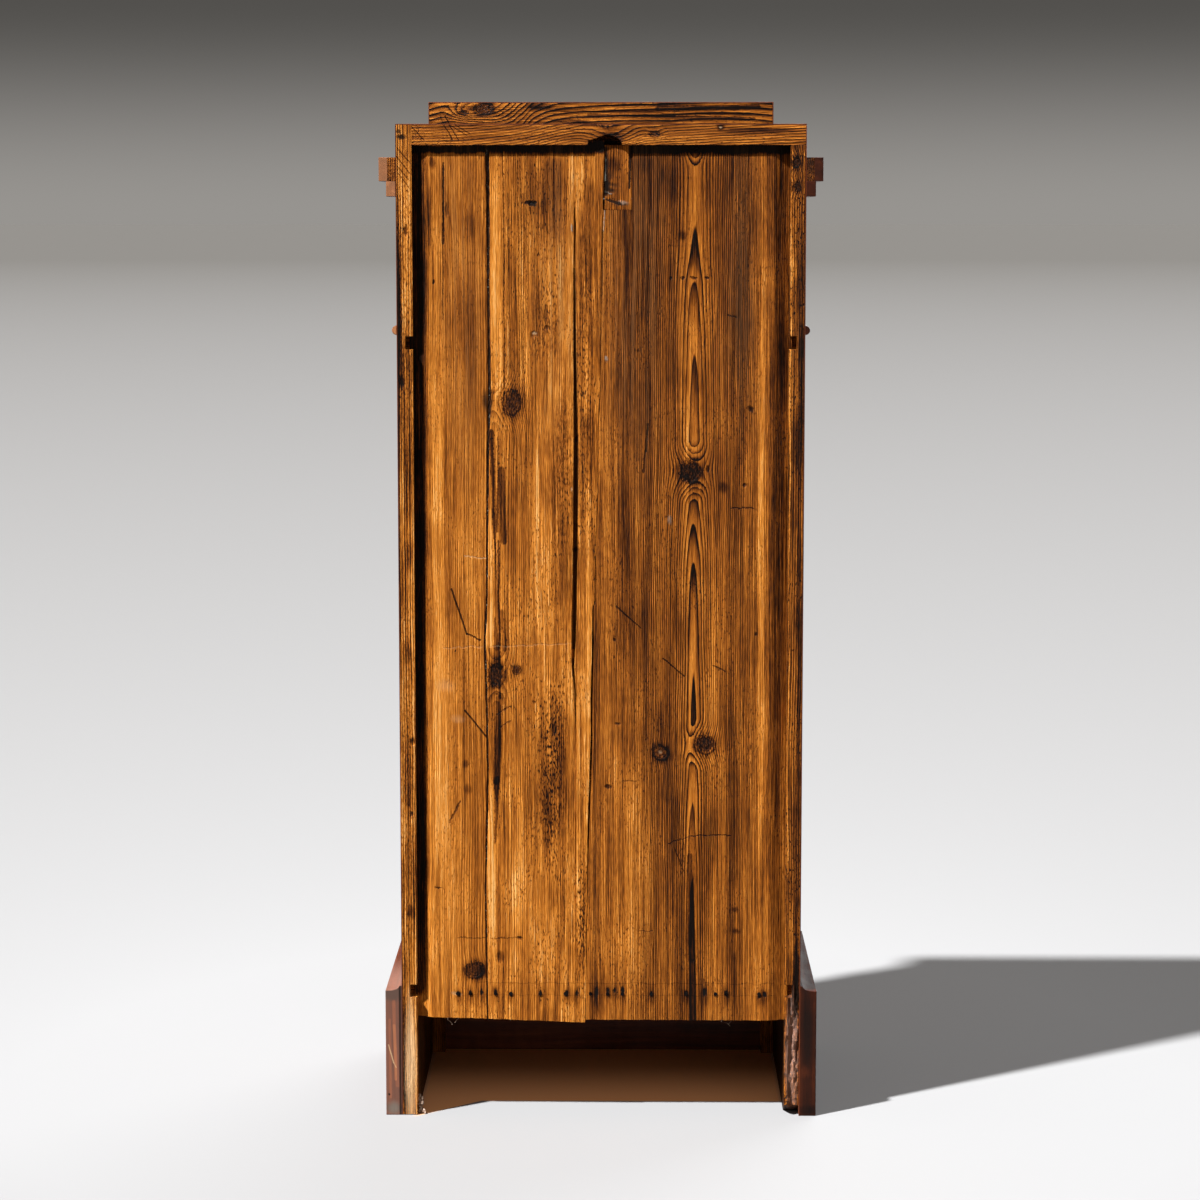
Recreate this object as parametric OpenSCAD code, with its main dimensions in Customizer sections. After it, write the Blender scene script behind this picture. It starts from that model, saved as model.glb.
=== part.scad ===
// Pier cabinet: a pine case veneered with mahogany, with a drawer over one door.
// Seen from the front, +X is to the right, -Y is to the front and +Z is up.
// The origin is on the floor, at the middle of the whole outline.

/* [Carcase] */
// Width over the veneer of both sides
carcase_w = 650; // [520:1:900]
// Depth of the sides, front face to rear edge
carcase_d = 395; // [320:1:560]
// Height of the top of the case above the floor
carcase_h = 1608; // [1520:1:1900]
// Thickness of the side boards
side_t = 24; // [20:0.5:32]
// Thickness of all veneer
veneer_t = 1.5; // [1:0.1:3]
// Thickness of the top board with its veneer
top_t = 33; // [26:0.5:45]
// Height of the dust board's upper face above the floor
dust_top = 1273.5; // [1170:0.5:1300]
// Thickness of the dust board
dust_t = 21; // [16:0.5:28]
// How far the cupboard's floor lies above the plinth's top
bottom_rise = 2; // [1.5:0.5:40]
// Thickness of the bottom board
bottom_t = 21; // [16:0.5:28]
// Depth of the housings that hold the dust board and the bottom board
housing_in = 12; // [6:0.5:16]
// Thickness of the frieze rail
rail_t = 24; // [22:0.5:36]

/* [Dovetails] */
// Number of tails in each side's upper end
tail_n = 4; // [3:1:7]
// Width of a tail at its wide upper end
tail_w = 56; // [30:1:60]
// How much a tail narrows on each flank towards its root
tail_flare = 6; // [2:0.5:8]

/* [Attic] */
// Width of the step that stands on the top
attic_w = 544; // [380:1:640]
// Height of the step
attic_h = 34; // [20:0.5:60]
// How far the step stands back from the front
attic_set = 49.5; // [20:0.5:90]

/* [Cornice] */
// Bare height between the cornice and the top board
cornice_drop = 19.5; // [10:0.5:30]
// Height of the cornice
cornice_h = 37.5; // [25:0.5:50]
// Thickness of the cornice's inner strip
core_t = 12.5; // [8:0.5:20]
// Thickness of the cornice's outer strip
fascia_t = 14; // [14:0.5:22]
// Height of the architrave
architrave_h = 24; // [15:0.5:35]
// Thickness of the architrave
architrave_t = 15; // [10:0.5:22]

/* [Bead] */
// Radius of the half-round bead
bead_r = 7.4; // [4:0.1:10]
// Height of the bead's lower edge above the dust board
bead_rise = 2; // [1:0.5:10]

/* [Plinth] */
// Height of the plinth where it meets the case
plinth_h = 216.5; // [160:0.5:240]
// Thickness of the plinth boards
plinth_t = 26.5; // [22:0.5:28]
// How far the plinth's top falls towards the outside
plinth_fall = 8; // [3:0.5:14]
// Width of the flat lip on each side of the plinth's cove
plinth_lip = 4; // [2:0.5:6]
// Width of the glue blocks behind the plinth
block_w = 22; // [14:1:30]
// Height of the corner glue blocks
block_h = 120; // [60:1:135]

/* [Back] */
// Thickness of the back boards
back_t = 14; // [12:0.5:18]
// How far the back lies inside the rear edges
back_recess = 9; // [6:0.5:16]
// Thickness of the tongue round the back
tongue_t = 6; // [4:0.5:8]
// Depth of the groove that takes the tongue
tongue_in = 7; // [4:0.5:10]
// Width of the bevel round the back
bevel_w = 24; // [12:1:32]
// How far the back hangs below the bottom board
back_drop = 40.5; // [27:0.5:70]
// Place of the joint between the right and the middle board
joint_right_x = 181.5; // [120:0.5:220]
// Place of the joint between the middle and the left board, at the foot
joint_left_foot_x = 25; // [20:0.5:32]
// Place of the joint between the middle and the left board, at the head
joint_left_head_x = -5; // [-12:0.5:10]
// Open gap between neighbouring back boards
joint_gap = 1.2; // [0.6:0.1:2]
// Width of the patch let into the head of the back
patch_w = 43; // [30:0.5:60]
// Height of the patch
patch_h = 102; // [60:1:160]
// Place of the shrinkage crack in the middle board
crack_x = 41.5; // [36:0.5:80]
// Widest opening of the crack
crack_w = 6; // [2:0.5:8]
// Height of the crack's foot above the floor
crack_foot = 664; // [400:1:700]
// Height of the crack's head above the floor
crack_head = 1460; // [1000:1:1460]
// Radius of the nails' shanks
nail_r = 1.3; // [0.8:0.1:2]
// Radius of the nails' heads
nail_head_r = 3; // [2.4:0.1:4]
// Length of the nails
nail_l = 38; // [30:1:50]
// Width of the piece broken from the top board's rear edge
notch_w = 54; // [20:1:80]
// Height of the piece broken from the top board's rear edge
notch_h = 16; // [8:0.5:20]
// Place of the middle of the broken piece
notch_x = -6.5; // [-40:0.5:40]
// Height of the part worn from the left side's rear foot
worn_h = 17; // [4:0.5:40]
// Depth of the part worn from the left side's rear foot
worn_d = 34; // [10:1:80]

/* [Shelves] */
// Thickness of the shelves
shelf_t = 18; // [14:0.5:25]
// Height of the lower shelf's upper face above the floor
shelf_low = 570; // [420:1:640]
// Height of the upper shelf's upper face above the floor
shelf_high = 915; // [770:1:1050]
// Space between the door and the shelves
shelf_set = 30; // [20:1:60]
// Width of the cleats under the shelves
cleat_w = 18; // [12:0.5:25]
// Height of the cleats
cleat_h = 28; // [18:1:40]

/* [Drawer] */
// Thickness of the drawer front
drawer_front_t = 24; // [24:0.5:32]
// Gap above the drawer front
drawer_gap = 2; // [1.5:0.1:3]
// Thickness of the drawer sides and back
drawer_side_t = 11; // [9:0.5:16]
// Thickness of the drawer bottom
drawer_bottom_t = 8; // [6:0.5:10]
// Height of the drawer bottom above the drawer sides' lower edges
drawer_bottom_up = 8; // [6:0.5:14]
// Space above the drawer sides
drawer_head = 14; // [8:0.5:30]
// Space behind the drawer
drawer_tail = 18; // [10:1:60]
// Depth of the dovetailed housing in the drawer front
drawer_joint = 9; // [5:0.5:9.5]

/* [Door] */
// Thickness of the door frame
door_t = 24; // [24:0.5:32]
// Gap all round the door
door_gap = 2; // [1.4:0.1:3]
// Width of the door stiles
stile_w = 72; // [68:1:100]
// Width of the upper door rail
rail_high_w = 72; // [60:1:110]
// Width of the lower door rail
rail_low_w = 92; // [60:1:140]
// Length of the tenons on the door rails
tenon_l = 30; // [16:1:32]
// Thickness of the door panel
panel_t = 8; // [6:0.5:10]
// How far the panel lies behind the frame's face
panel_set = 7; // [5:0.5:9]
// Depth of the groove that holds the panel
groove_in = 8; // [5:0.5:10]
// Width of the moulding round the panel
moulding_w = 12; // [8:0.5:20]
// How far the moulding stands proud of the frame
moulding_proud = 1.5; // [0.5:0.5:3]
// Width of the strip that stops the door
stop_w = 10; // [6:0.5:14]

/* [Hinges] */
// Height of a hinge
hinge_h = 80; // [60:1:100]
// Distance from the door's end to the middle of a hinge
hinge_in = 110; // [80:1:160]
// Outer radius of the hinge barrel
barrel_r = 4.5; // [3.5:0.1:5]
// Radius of the hinge pin
pin_r = 2; // [1.5:0.1:2.4]
// Thickness of the hinge leaves
leaf_t = 1.8; // [1.4:0.1:2.2]
// Depth of the hinge leaves behind the front face
leaf_w = 22; // [18:0.5:23]
// Number of knuckles in a hinge
knuckle_n = 5; // [3:2:7]
// Radius of the hinge screws
screw_r = 1.5; // [1:0.1:2]
// Length of the hinge screws
screw_l = 14; // [10:0.5:18]

/* [Locks] */
// Distance from the keyhole to the edge that the bolt leaves
backset = 36; // [32:0.5:38]
// Length of the lock case along the bolt
case_l = 50; // [48:0.5:56]
// Width of the lock case across the bolt
case_w = 54; // [44:1:60]
// Depth of the lock case
case_t = 14; // [14:0.5:16]
// Wall of the lock case
case_wall = 1.5; // [1:0.1:1.5]
// Width of the bolt
bolt_w = 18; // [10:0.5:24]
// Thickness of the bolt
bolt_t = 4.8; // [3:0.1:4.8]
// Length of the bolt
bolt_l = 29; // [20:0.5:29]
// How far the bolt comes out
bolt_throw = 10; // [6:0.5:11]
// Radius of the key's shank
key_r = 2.5; // [2:0.1:2.8]
// Reach of the key's bit from the middle of the shank
bit_l = 9; // [7:0.5:10]
// How far the key stands out of the front
key_reach = 26; // [22:0.5:26.5]
// Outer radius of the key's bow
bow_r = 9.5; // [7:0.5:10]
// Width of the escutcheons
escutcheon_w = 24; // [18:0.5:30]
// Height of the escutcheons
escutcheon_h = 40; // [36:0.5:50]
// Height of the door's keyhole above the floor
door_key_z = 745; // [650:1:860]

/* [Hidden] */
$fn = 48;

// Clearances
play = 0.3;         // loose fit of what is slid or dropped in
run_gap = 0.5;      // between the drawer and what carries it
pin_play = 0.05;    // radial, between a turning round and its bore
over = 1;           // how far a cut runs past the face it opens

// Colours
pine = "#b9793f";
dark_pine = "#a0652f";
mahogany = "#5a2317";
veneer_red = "#6b2a1a";
old_brass = "#b08d45";
iron = "#3b3936";

// Main planes of the case
half_w = carcase_w / 2;
core_x = half_w - veneer_t;             // outer face of the side boards
inner_x = core_x - side_t;              // inner face of the side boards
cornice_out = core_t + fascia_t;
front_out = max(cornice_out, plinth_t, key_reach, architrave_t);
rear_y = (carcase_d + front_out) / 2;
front_y = rear_y - carcase_d;
core_y = front_y + veneer_t;            // front edges under their veneer
under_top = carcase_h - top_t;
top_core = carcase_h - veneer_t;
cornice_top = under_top - cornice_drop;
architrave_top = cornice_top - cornice_h;
zone_top = architrave_top - architrave_h;   // upper end of the drawer's opening
bead_z = dust_top + bead_rise + bead_r;
bottom_top = plinth_h + bottom_rise;
under_bottom = bottom_top - bottom_t;

// Back
back_rear = rear_y - back_recess;
back_front = back_rear - back_t;
tongue_x = inner_x + tongue_in;
nail_up = 4;                    // above the bottom board's underside
nail_z = under_bottom + nail_up;
nail_xs = [234, 213, 172, 147, 99, 58, 17, -11, -35, -82, -139, -187, -205, -258];
nail_head_t = 1;

// The back boards' feet were sawn unevenly
back_low = under_bottom - back_drop;
foot_uneven = 1;
foot_right = back_low + 5 * foot_uneven;
foot_joint = back_low + 2 * foot_uneven;
foot_middle = back_low - 4 * foot_uneven;
foot_left = back_low + foot_uneven;

// Drawer
drawer_floor = dust_top + run_gap;
drawer_front_top = zone_top - drawer_gap;
drawer_seat = drawer_front_t + run_gap;     // how far the sides are cut back for the front
drawer_x = inner_x - 2 * run_gap;
drawer_y = front_y + drawer_front_t;
drawer_end = back_front - drawer_tail;
drawer_top = zone_top - drawer_head;
drawer_groove = drawer_side_t / 2;

// Door
door_x = inner_x - door_gap;
door_low = bottom_top + door_gap;
door_high = dust_top - dust_t - door_gap;
moulding_edge = 1.5;            // thickness of the moulding's thin edge
mitre_gap = 0.1;                // hairline between two mitred bars
open_x = door_x - stile_w;
open_low = door_low + rail_low_w;
open_high = door_high - rail_high_w;
tenon_in = groove_in + 2;
panel_y = front_y + panel_set;
key_door_x = -(door_x - backset);
key_drawer_z = drawer_front_top - backset;

// Hinges
barrel_gap = 0.7;
leaf_gap = 0.2;
axis_x = inner_x - door_gap / 2;
axis_y = front_y - barrel_r - barrel_gap;
hinge_zs = [door_low + hinge_in, door_high - hinge_in];
knuckle_h = hinge_h / knuckle_n;
screw_zs = [-0.36, 0, 0.36];
screw_head_r = screw_r + leaf_t;

// Locks
bit_w = 4;
bit_t = 2;
bow_wire = 1.6;
key_hole_r = key_r + 0.5;
slot_w = bit_t + 1;
slot_l = bit_l + 0.8;
plate_t = 1.2;
bolt_rear = case_wall + play;           // from the board's inner face to the bolt
mortise_in = bolt_throw + 2;

// A box from its lowest to its highest corner
module span(low, high) {
    translate(low) cube(high - low);
}

// Mirrors its children to the left for s = -1 and leaves them for s = 1
module on_side(s) {
    if (s < 0) mirror([1, 0, 0]) children();
    else children();
}

// Extrudes an outline drawn in X and Z from the rear edge to the front
module run_forward(from_y, to_y) {
    translate([0, from_y, 0]) rotate([90, 0, 0]) linear_extrude(from_y - to_y) children();
}

// Extrudes an outline drawn in Y and Z along X
module run_across(from_x, to_x) {
    translate([from_x, 0, 0]) rotate([90, 0, 90]) linear_extrude(to_x - from_x) children();
}

// Extrudes an outline drawn in X and Y upwards
module run_up(from_z, to_z) {
    translate([0, 0, from_z]) linear_extrude(to_z - from_z) children();
}

// Plan of a strip on the case's right side, mitred at the front corner
module side_strip_plan(near, far) {
    polygon([
        [half_w + near, rear_y], [half_w + near, front_y - near],
        [half_w + far, front_y - far], [half_w + far, rear_y]
    ]);
}

// Plan of a strip across the case's front, mitred at both corners
module front_strip_plan(near, far) {
    polygon([
        [-half_w - near, front_y - near], [-half_w - far, front_y - far],
        [half_w + far, front_y - far], [half_w + near, front_y - near]
    ]);
}

// Tails of one side's upper end; the right side has half a tail at its rear edge
module tails(s) {
    pitch = (rear_y - core_y) / tail_n;
    shift = s > 0 ? 0 : pitch / 2;
    root = tail_w - 2 * tail_flare;
    on_side(s) intersection() {
        span([inner_x, core_y, under_top], [core_x, rear_y, top_core]);
        run_across(inner_x, core_x) for (i = [0 : tail_n]) translate([rear_y - shift - i * pitch, 0]) polygon([
            [-root / 2, under_top], [root / 2, under_top],
            [tail_w / 2, top_core], [-tail_w / 2, top_core]
        ]);
    }
}

// Groove round the back panel, in a side board
module back_groove() {
    span(
        [inner_x - over, back_front, back_low - tongue_in],
        [tongue_x + play, back_front + tongue_t + play, under_top]
    );
}

module side_board(s) {
    difference() {
        union() {
            on_side(s) span([inner_x, core_y, 0], [core_x, rear_y, under_top]);
            tails(s);
        }
        on_side(s) {
            span(
                [inner_x - over, front_y, dust_top],
                [core_x + over, front_y + drawer_seat, zone_top]
            );
            span(
                [inner_x - over, core_y - over, dust_top - dust_t],
                [inner_x + housing_in, rear_y + over, dust_top]
            );
            span(
                [inner_x - over, core_y - over, under_bottom],
                [inner_x + housing_in, rear_y + over, bottom_top]
            );
            back_groove();
        }
    }
}

// The part that damp and worm have taken from the left side's rear foot
module worn_foot() {
    on_side(-1) run_across(inner_x - over, core_x + over) polygon([
        [rear_y - worn_d, -over], [rear_y - worn_d * 0.6, worn_h * 0.4],
        [rear_y - worn_d * 0.25, worn_h * 0.7], [rear_y + over, worn_h], [rear_y + over, -over]
    ]);
}

module side_left() {
    color(dark_pine) difference() {
        side_board(-1);
        door_strike_space();
        worn_foot();
    }
}

module side_right() {
    color(pine) difference() {
        side_board(1);
        for (z = hinge_zs) translate([axis_x, 0, z]) {
            leaf_plate();
            leaf_screws();
        }
    }
}

module side_veneer(s) {
    color(mahogany) on_side(s) difference() {
        span([core_x, core_y, 0], [half_w, rear_y, top_core]);
        span(
            [core_x - over, front_y, dust_top],
            [half_w + over, front_y + drawer_seat, zone_top]
        );
    }
}

module side_veneer_left() {
    side_veneer(-1);
}

module side_veneer_right() {
    side_veneer(1);
}

// Outline of the piece broken from the top board's rear edge: flat on one side, round on the other
module notch_outline() {
    steps = 8;
    round_w = notch_w / 2;
    polygon(concat(
        [[notch_x + notch_w / 2, under_top - over], [notch_x + notch_w / 2, under_top + notch_h * 0.45],
         [notch_x + notch_w * 0.3, under_top + notch_h * 0.6]],
        [for (i = [0 : steps]) let (a = 90 * i / steps)
            [notch_x - round_w * sin(a), under_top + notch_h * cos(a)]],
        [[notch_x - round_w, under_top - over]]
    ));
}

module top_board() {
    color(pine) difference() {
        span([-core_x, core_y, under_top], [core_x, rear_y, top_core]);
        tails(-1);
        tails(1);
        span(
            [-inner_x, back_front, under_top - over],
            [inner_x, back_front + tongue_t + play, under_top + tongue_in + play]
        );
        run_forward(rear_y + over, back_front) notch_outline();
    }
}

module top_veneer() {
    color(veneer_red) span([-half_w, front_y, top_core], [half_w, rear_y, carcase_h]);
}

module attic_block(skin) {
    span(
        [-attic_w / 2 + skin, front_y + attic_set + skin, carcase_h],
        [attic_w / 2 - skin, rear_y, carcase_h + attic_h - skin]
    );
}

module attic_board() {
    color(pine) attic_block(veneer_t);
}

module attic_veneer() {
    color(veneer_red) difference() {
        attic_block(0);
        attic_block(veneer_t);
    }
}

module frieze_rail() {
    color(pine) difference() {
        span([-inner_x, core_y, zone_top], [inner_x, core_y + rail_t, under_top]);
        drawer_strike_space();
    }
}

// Veneer on the frieze and on the front edges of the sides and boards
module front_veneer() {
    color(mahogany) difference() {
        union() {
            span([-half_w, front_y, zone_top], [half_w, core_y, top_core]);
            for (s = [-1, 1]) on_side(s) span([inner_x, front_y, 0], [half_w, core_y, dust_top]);
            span([-inner_x, front_y, dust_top - dust_t], [inner_x, core_y, dust_top]);
            span([-inner_x, front_y, under_bottom], [inner_x, core_y, bottom_top]);
        }
        for (z = hinge_zs) translate([axis_x, 0, z]) leaf_plate();
    }
}

module dust_board() {
    housed_x = inner_x + housing_in;
    color(dark_pine) span([-housed_x, core_y, dust_top - dust_t], [housed_x, back_front, dust_top]);
}

module bottom_board() {
    housed_x = inner_x + housing_in;
    color(dark_pine) difference() {
        span([-housed_x, core_y, under_bottom], [housed_x, back_front, bottom_top]);
        nail_shanks();
    }
}

module cornice_core_left() {
    color(pine) on_side(-1) run_up(architrave_top, cornice_top) side_strip_plan(0, core_t);
}

module cornice_core_right() {
    color(pine) run_up(architrave_top, cornice_top) side_strip_plan(0, core_t);
}

module cornice_core_front() {
    color(pine) run_up(architrave_top, cornice_top) front_strip_plan(0, core_t);
}

module cornice_fascia_left() {
    color(mahogany) on_side(-1) run_up(architrave_top, cornice_top) side_strip_plan(core_t, cornice_out);
}

module cornice_fascia_right() {
    color(mahogany) run_up(architrave_top, cornice_top) side_strip_plan(core_t, cornice_out);
}

module cornice_fascia_front() {
    color(mahogany) run_up(architrave_top, cornice_top) front_strip_plan(core_t, cornice_out);
}

module architrave_left() {
    color(mahogany) on_side(-1) run_up(zone_top, architrave_top) side_strip_plan(0, architrave_t);
}

module architrave_right() {
    color(mahogany) run_up(zone_top, architrave_top) side_strip_plan(0, architrave_t);
}

module architrave_front() {
    color(mahogany) run_up(zone_top, architrave_top) front_strip_plan(0, architrave_t);
}

// Round bar of the bead along a side, from the front end to the rear end
module bead_bar_side(from_y, to_y) {
    translate([half_w, to_y, bead_z]) rotate([90, 0, 0]) cylinder(r = bead_r, h = to_y - from_y);
}

// Round bar of the bead across the front
module bead_bar_front(to_x) {
    translate([-to_x, front_y, bead_z]) rotate([0, 90, 0]) cylinder(r = bead_r, h = 2 * to_x);
}

module side_bead(s) {
    color(veneer_red) on_side(s) difference() {
        bead_bar_side(front_y + drawer_seat, rear_y);
        span([half_w - bead_r - over, front_y, bead_z - bead_r - over], [half_w, rear_y + over, bead_z + bead_r + over]);
    }
}

module bead_left() {
    side_bead(-1);
}

module bead_right() {
    side_bead(1);
}

// Outline of a plinth board, with its outer face to the right of the given inner face
module plinth_outline(inner, out) {
    steps = 8;
    cove_w = plinth_t - 2 * plinth_lip;
    cove_low = plinth_h - plinth_fall;
    polygon(concat(
        [[inner, 0], [inner + out * plinth_t, 0], [inner + out * plinth_t, cove_low]],
        [for (i = [0 : steps]) let (a = 90 * i / steps)
            [inner + out * (plinth_t - plinth_lip - cove_w * sin(a)), plinth_h - plinth_fall * cos(a)]],
        [[inner, plinth_h]]
    ));
}

module plinth_side(s) {
    color(mahogany) on_side(s) intersection() {
        run_forward(rear_y, front_y - plinth_t) plinth_outline(half_w, 1);
        run_up(0, plinth_h) side_strip_plan(0, plinth_t);
    }
}

module plinth_left() {
    plinth_side(-1);
}

module plinth_right() {
    plinth_side(1);
}

module plinth_front() {
    color(mahogany) intersection() {
        run_across(-half_w - plinth_t, half_w + plinth_t) plinth_outline(front_y, -1);
        run_up(0, plinth_h) front_strip_plan(0, plinth_t);
    }
}

module plinth_blocks() {
    color(pine) {
        for (s = [-1, 1]) on_side(s) span([inner_x - block_w, front_y, 0], [inner_x, front_y + block_w, block_h]);
        span([-2 * block_w, front_y, under_bottom - block_w], [2 * block_w, front_y + block_w, under_bottom]);
    }
}

// Place of the joint between the middle and the left board at a height
function joint_left_x(z) =
    joint_left_foot_x + (joint_left_head_x - joint_left_foot_x) * (z - back_low) / (under_top - back_low);

// Bevels the panel's sides and head down to its tongue
module back_bevel() {
    for (s = [-1, 1]) on_side(s) run_up(0, carcase_h) polygon([
        [inner_x - bevel_w, back_rear], [inner_x, back_front + tongue_t],
        [tongue_x + over, back_front + tongue_t], [tongue_x + over, back_rear + over],
        [inner_x - bevel_w, back_rear + over]
    ]);
    run_across(-half_w, half_w) polygon([
        [back_rear, under_top - bevel_w], [back_front + tongue_t, under_top],
        [back_front + tongue_t, carcase_h], [back_rear + over, carcase_h],
        [back_rear + over, under_top - bevel_w]
    ]);
}

// One board of the back, drawn in X and Z as seen from the front
module back_board() {
    difference() {
        run_forward(back_rear, back_front) children();
        back_bevel();
        nail_shanks();
    }
}

module back_board_right() {
    edge = joint_right_x + joint_gap / 2;
    color(pine) back_board() polygon([
        [edge, foot_joint], [tongue_x, foot_right],
        [tongue_x, under_top - play], [inner_x - play, under_top - play],
        [inner_x - play, under_top + tongue_in], [edge, under_top + tongue_in]
    ]);
}

// Outline of the shrinkage crack, widest below its middle
module crack_outline() {
    reach = crack_head - crack_foot;
    polygon([
        [crack_x, crack_foot], [crack_x - crack_w * 0.4, crack_foot + reach * 0.2],
        [crack_x - crack_w * 0.5, crack_foot + reach * 0.45], [crack_x - crack_w * 0.1, crack_foot + reach * 0.8],
        [crack_x, crack_head],
        [crack_x + crack_w * 0.2, crack_foot + reach * 0.8], [crack_x + crack_w * 0.5, crack_foot + reach * 0.45],
        [crack_x + crack_w * 0.3, crack_foot + reach * 0.2]
    ]);
}

module back_board_middle() {
    head = under_top + tongue_in;
    half_gap = joint_gap / 2;
    color(pine) difference() {
        back_board() polygon([
            [joint_left_x(foot_middle) + half_gap, foot_middle], [joint_right_x - half_gap, foot_joint],
            [joint_right_x - half_gap, head], [joint_left_x(head) + half_gap, head]
        ]);
        run_forward(back_rear + over, back_front - over) crack_outline();
    }
}

module back_board_left() {
    head = under_top + tongue_in;
    half_gap = joint_gap / 2;
    patch_low = under_top - patch_h;
    patch_far = joint_left_x(under_top) - half_gap - patch_w - half_gap;
    color(dark_pine) back_board() polygon([
        [joint_left_x(back_low) - half_gap, back_low], [joint_left_x(patch_low) - half_gap, patch_low],
        [patch_far, patch_low], [patch_far, head], [-inner_x + play, head], [-inner_x + play, under_top - play],
        [-tongue_x, under_top - play], [-tongue_x, foot_left]
    ]);
}

module back_patch() {
    near = joint_left_x(under_top) - joint_gap / 2;
    patch_low = under_top - patch_h;
    color(pine) run_forward(back_rear, back_front) polygon([
        [near - patch_w, patch_low], [near, patch_low], [near, under_top], [near - patch_w, under_top]
    ]);
}

module nail_shanks() {
    for (x = nail_xs) translate([x, back_rear, nail_z]) rotate([90, 0, 0]) cylinder(r = nail_r, h = nail_l);
}

module back_nails() {
    color(iron) {
        nail_shanks();
        for (x = nail_xs) translate([x, back_rear + nail_head_t, nail_z]) rotate([90, 0, 0])
            cylinder(r = nail_head_r, h = nail_head_t);
    }
}

module shelves() {
    shelf_x = inner_x - 2 * run_gap;
    color(pine) for (z = [shelf_low, shelf_high])
        span([-shelf_x, front_y + door_t + shelf_set, z - shelf_t], [shelf_x, back_front - play, z]);
}

module shelf_cleats() {
    color(dark_pine) for (s = [-1, 1], z = [shelf_low, shelf_high]) on_side(s) span(
        [inner_x - cleat_w, front_y + door_t + 2 * shelf_set, z - shelf_t - cleat_h],
        [inner_x, back_front, z - shelf_t]
    );
}

module door_stop() {
    stop_y = front_y + door_t + run_gap;
    color(mahogany) span([-inner_x, stop_y, bottom_top], [-inner_x + stop_w, stop_y + stop_w, dust_top - dust_t]);
}

// A hinge is drawn with its axis at X = 0 and the middle of its height at Z = 0.
// The frame's leaf is on the right of the axis, and the door's leaf is its mirror image.
module leaf_plate() {
    span([leaf_gap, axis_y + barrel_r + 2 * leaf_gap, -hinge_h / 2], [leaf_gap + leaf_t, front_y + leaf_w, hinge_h / 2]);
}

// One screw along +X, with its countersunk head flush with the leaf
module leaf_screws() {
    for (k = screw_zs) translate([leaf_gap, front_y + leaf_w * 0.55, k * hinge_h]) rotate([0, 90, 0]) {
        cylinder(r = screw_r, h = screw_l);
        cylinder(r1 = screw_head_r, r2 = screw_r, h = leaf_t);
    }
}

// One leaf with the knuckles whose number is even for first = 0 and odd for first = 1
module leaf(first) {
    difference() {
        union() {
            leaf_plate();
            for (i = [first : 2 : knuckle_n - 1]) {
                low = -hinge_h / 2 + i * knuckle_h + play / 2;
                high = low + knuckle_h - play;
                translate([0, axis_y, low]) cylinder(r = barrel_r, h = high - low);
                span([leaf_gap, axis_y, low], [leaf_gap + leaf_t, front_y, high]);
            }
        }
        translate([0, axis_y, -hinge_h / 2 - over]) cylinder(r = pin_r + pin_play, h = hinge_h + 2 * over);
        leaf_screws();
    }
}

module hinge_leaves_frame() {
    color(old_brass) for (z = hinge_zs) translate([axis_x, 0, z]) leaf(0);
}

module hinge_leaves_door() {
    color(old_brass) for (z = hinge_zs) translate([axis_x, 0, z]) mirror([1, 0, 0]) leaf(1);
}

module hinge_pins() {
    cap_h = 2;
    color(old_brass) for (z = hinge_zs) translate([axis_x, axis_y, z]) {
        translate([0, 0, -hinge_h / 2]) cylinder(r = pin_r, h = hinge_h);
        translate([0, 0, hinge_h / 2]) cylinder(r = barrel_r - play, h = cap_h);
        translate([0, 0, -hinge_h / 2 - cap_h]) cylinder(r = barrel_r - play, h = cap_h);
    }
}

module hinge_screws_frame() {
    color(iron) for (z = hinge_zs) translate([axis_x, 0, z]) leaf_screws();
}

module hinge_screws_door() {
    color(iron) for (z = hinge_zs) translate([axis_x, 0, z]) mirror([1, 0, 0]) leaf_screws();
}

// Space for the panel's edges, cut from all four members of the door's frame
module panel_groove() {
    deep = groove_in + over;
    span(
        [-open_x - deep, panel_y - play / 2, open_low - deep],
        [open_x + deep, panel_y + panel_t + play / 2, open_high + deep]
    );
}

// Tenons of one door rail
module rail_tenons(low, high) {
    for (s = [-1, 1]) on_side(s) span([open_x, panel_y, low], [open_x + tenon_l, panel_y + panel_t, high]);
}

module low_tenons() {
    rail_tenons(door_low + tenon_in, open_low - tenon_in);
}

module high_tenons() {
    rail_tenons(open_high + tenon_in, door_high - tenon_in);
}

module stile(s) {
    difference() {
        on_side(s) span([open_x, front_y, door_low], [door_x, front_y + door_t, door_high]);
        panel_groove();
        low_tenons();
        high_tenons();
    }
}

module door_stile_hinge() {
    color(mahogany) difference() {
        stile(1);
        for (z = hinge_zs) translate([axis_x, 0, z]) mirror([1, 0, 0]) {
            leaf_plate();
            leaf_screws();
        }
    }
}

module door_stile_lock() {
    color(mahogany) difference() {
        stile(-1);
        at_door_key() {
            rotate([0, -90, 0]) lock_block(door_t);
            keyhole(0, door_t);
        }
    }
}

module door_rail_low() {
    color(mahogany) {
        difference() {
            span([-open_x, front_y, door_low], [open_x, front_y + door_t, open_low]);
            panel_groove();
        }
        low_tenons();
    }
}

module door_rail_high() {
    color(mahogany) {
        difference() {
            span([-open_x, front_y, open_high], [open_x, front_y + door_t, door_high]);
            panel_groove();
        }
        high_tenons();
    }
}

module door_panel() {
    color(veneer_red) span(
        [-open_x - groove_in, panel_y, open_low - groove_in],
        [open_x + groove_in, panel_y + panel_t, open_high + groove_in]
    );
}

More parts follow.
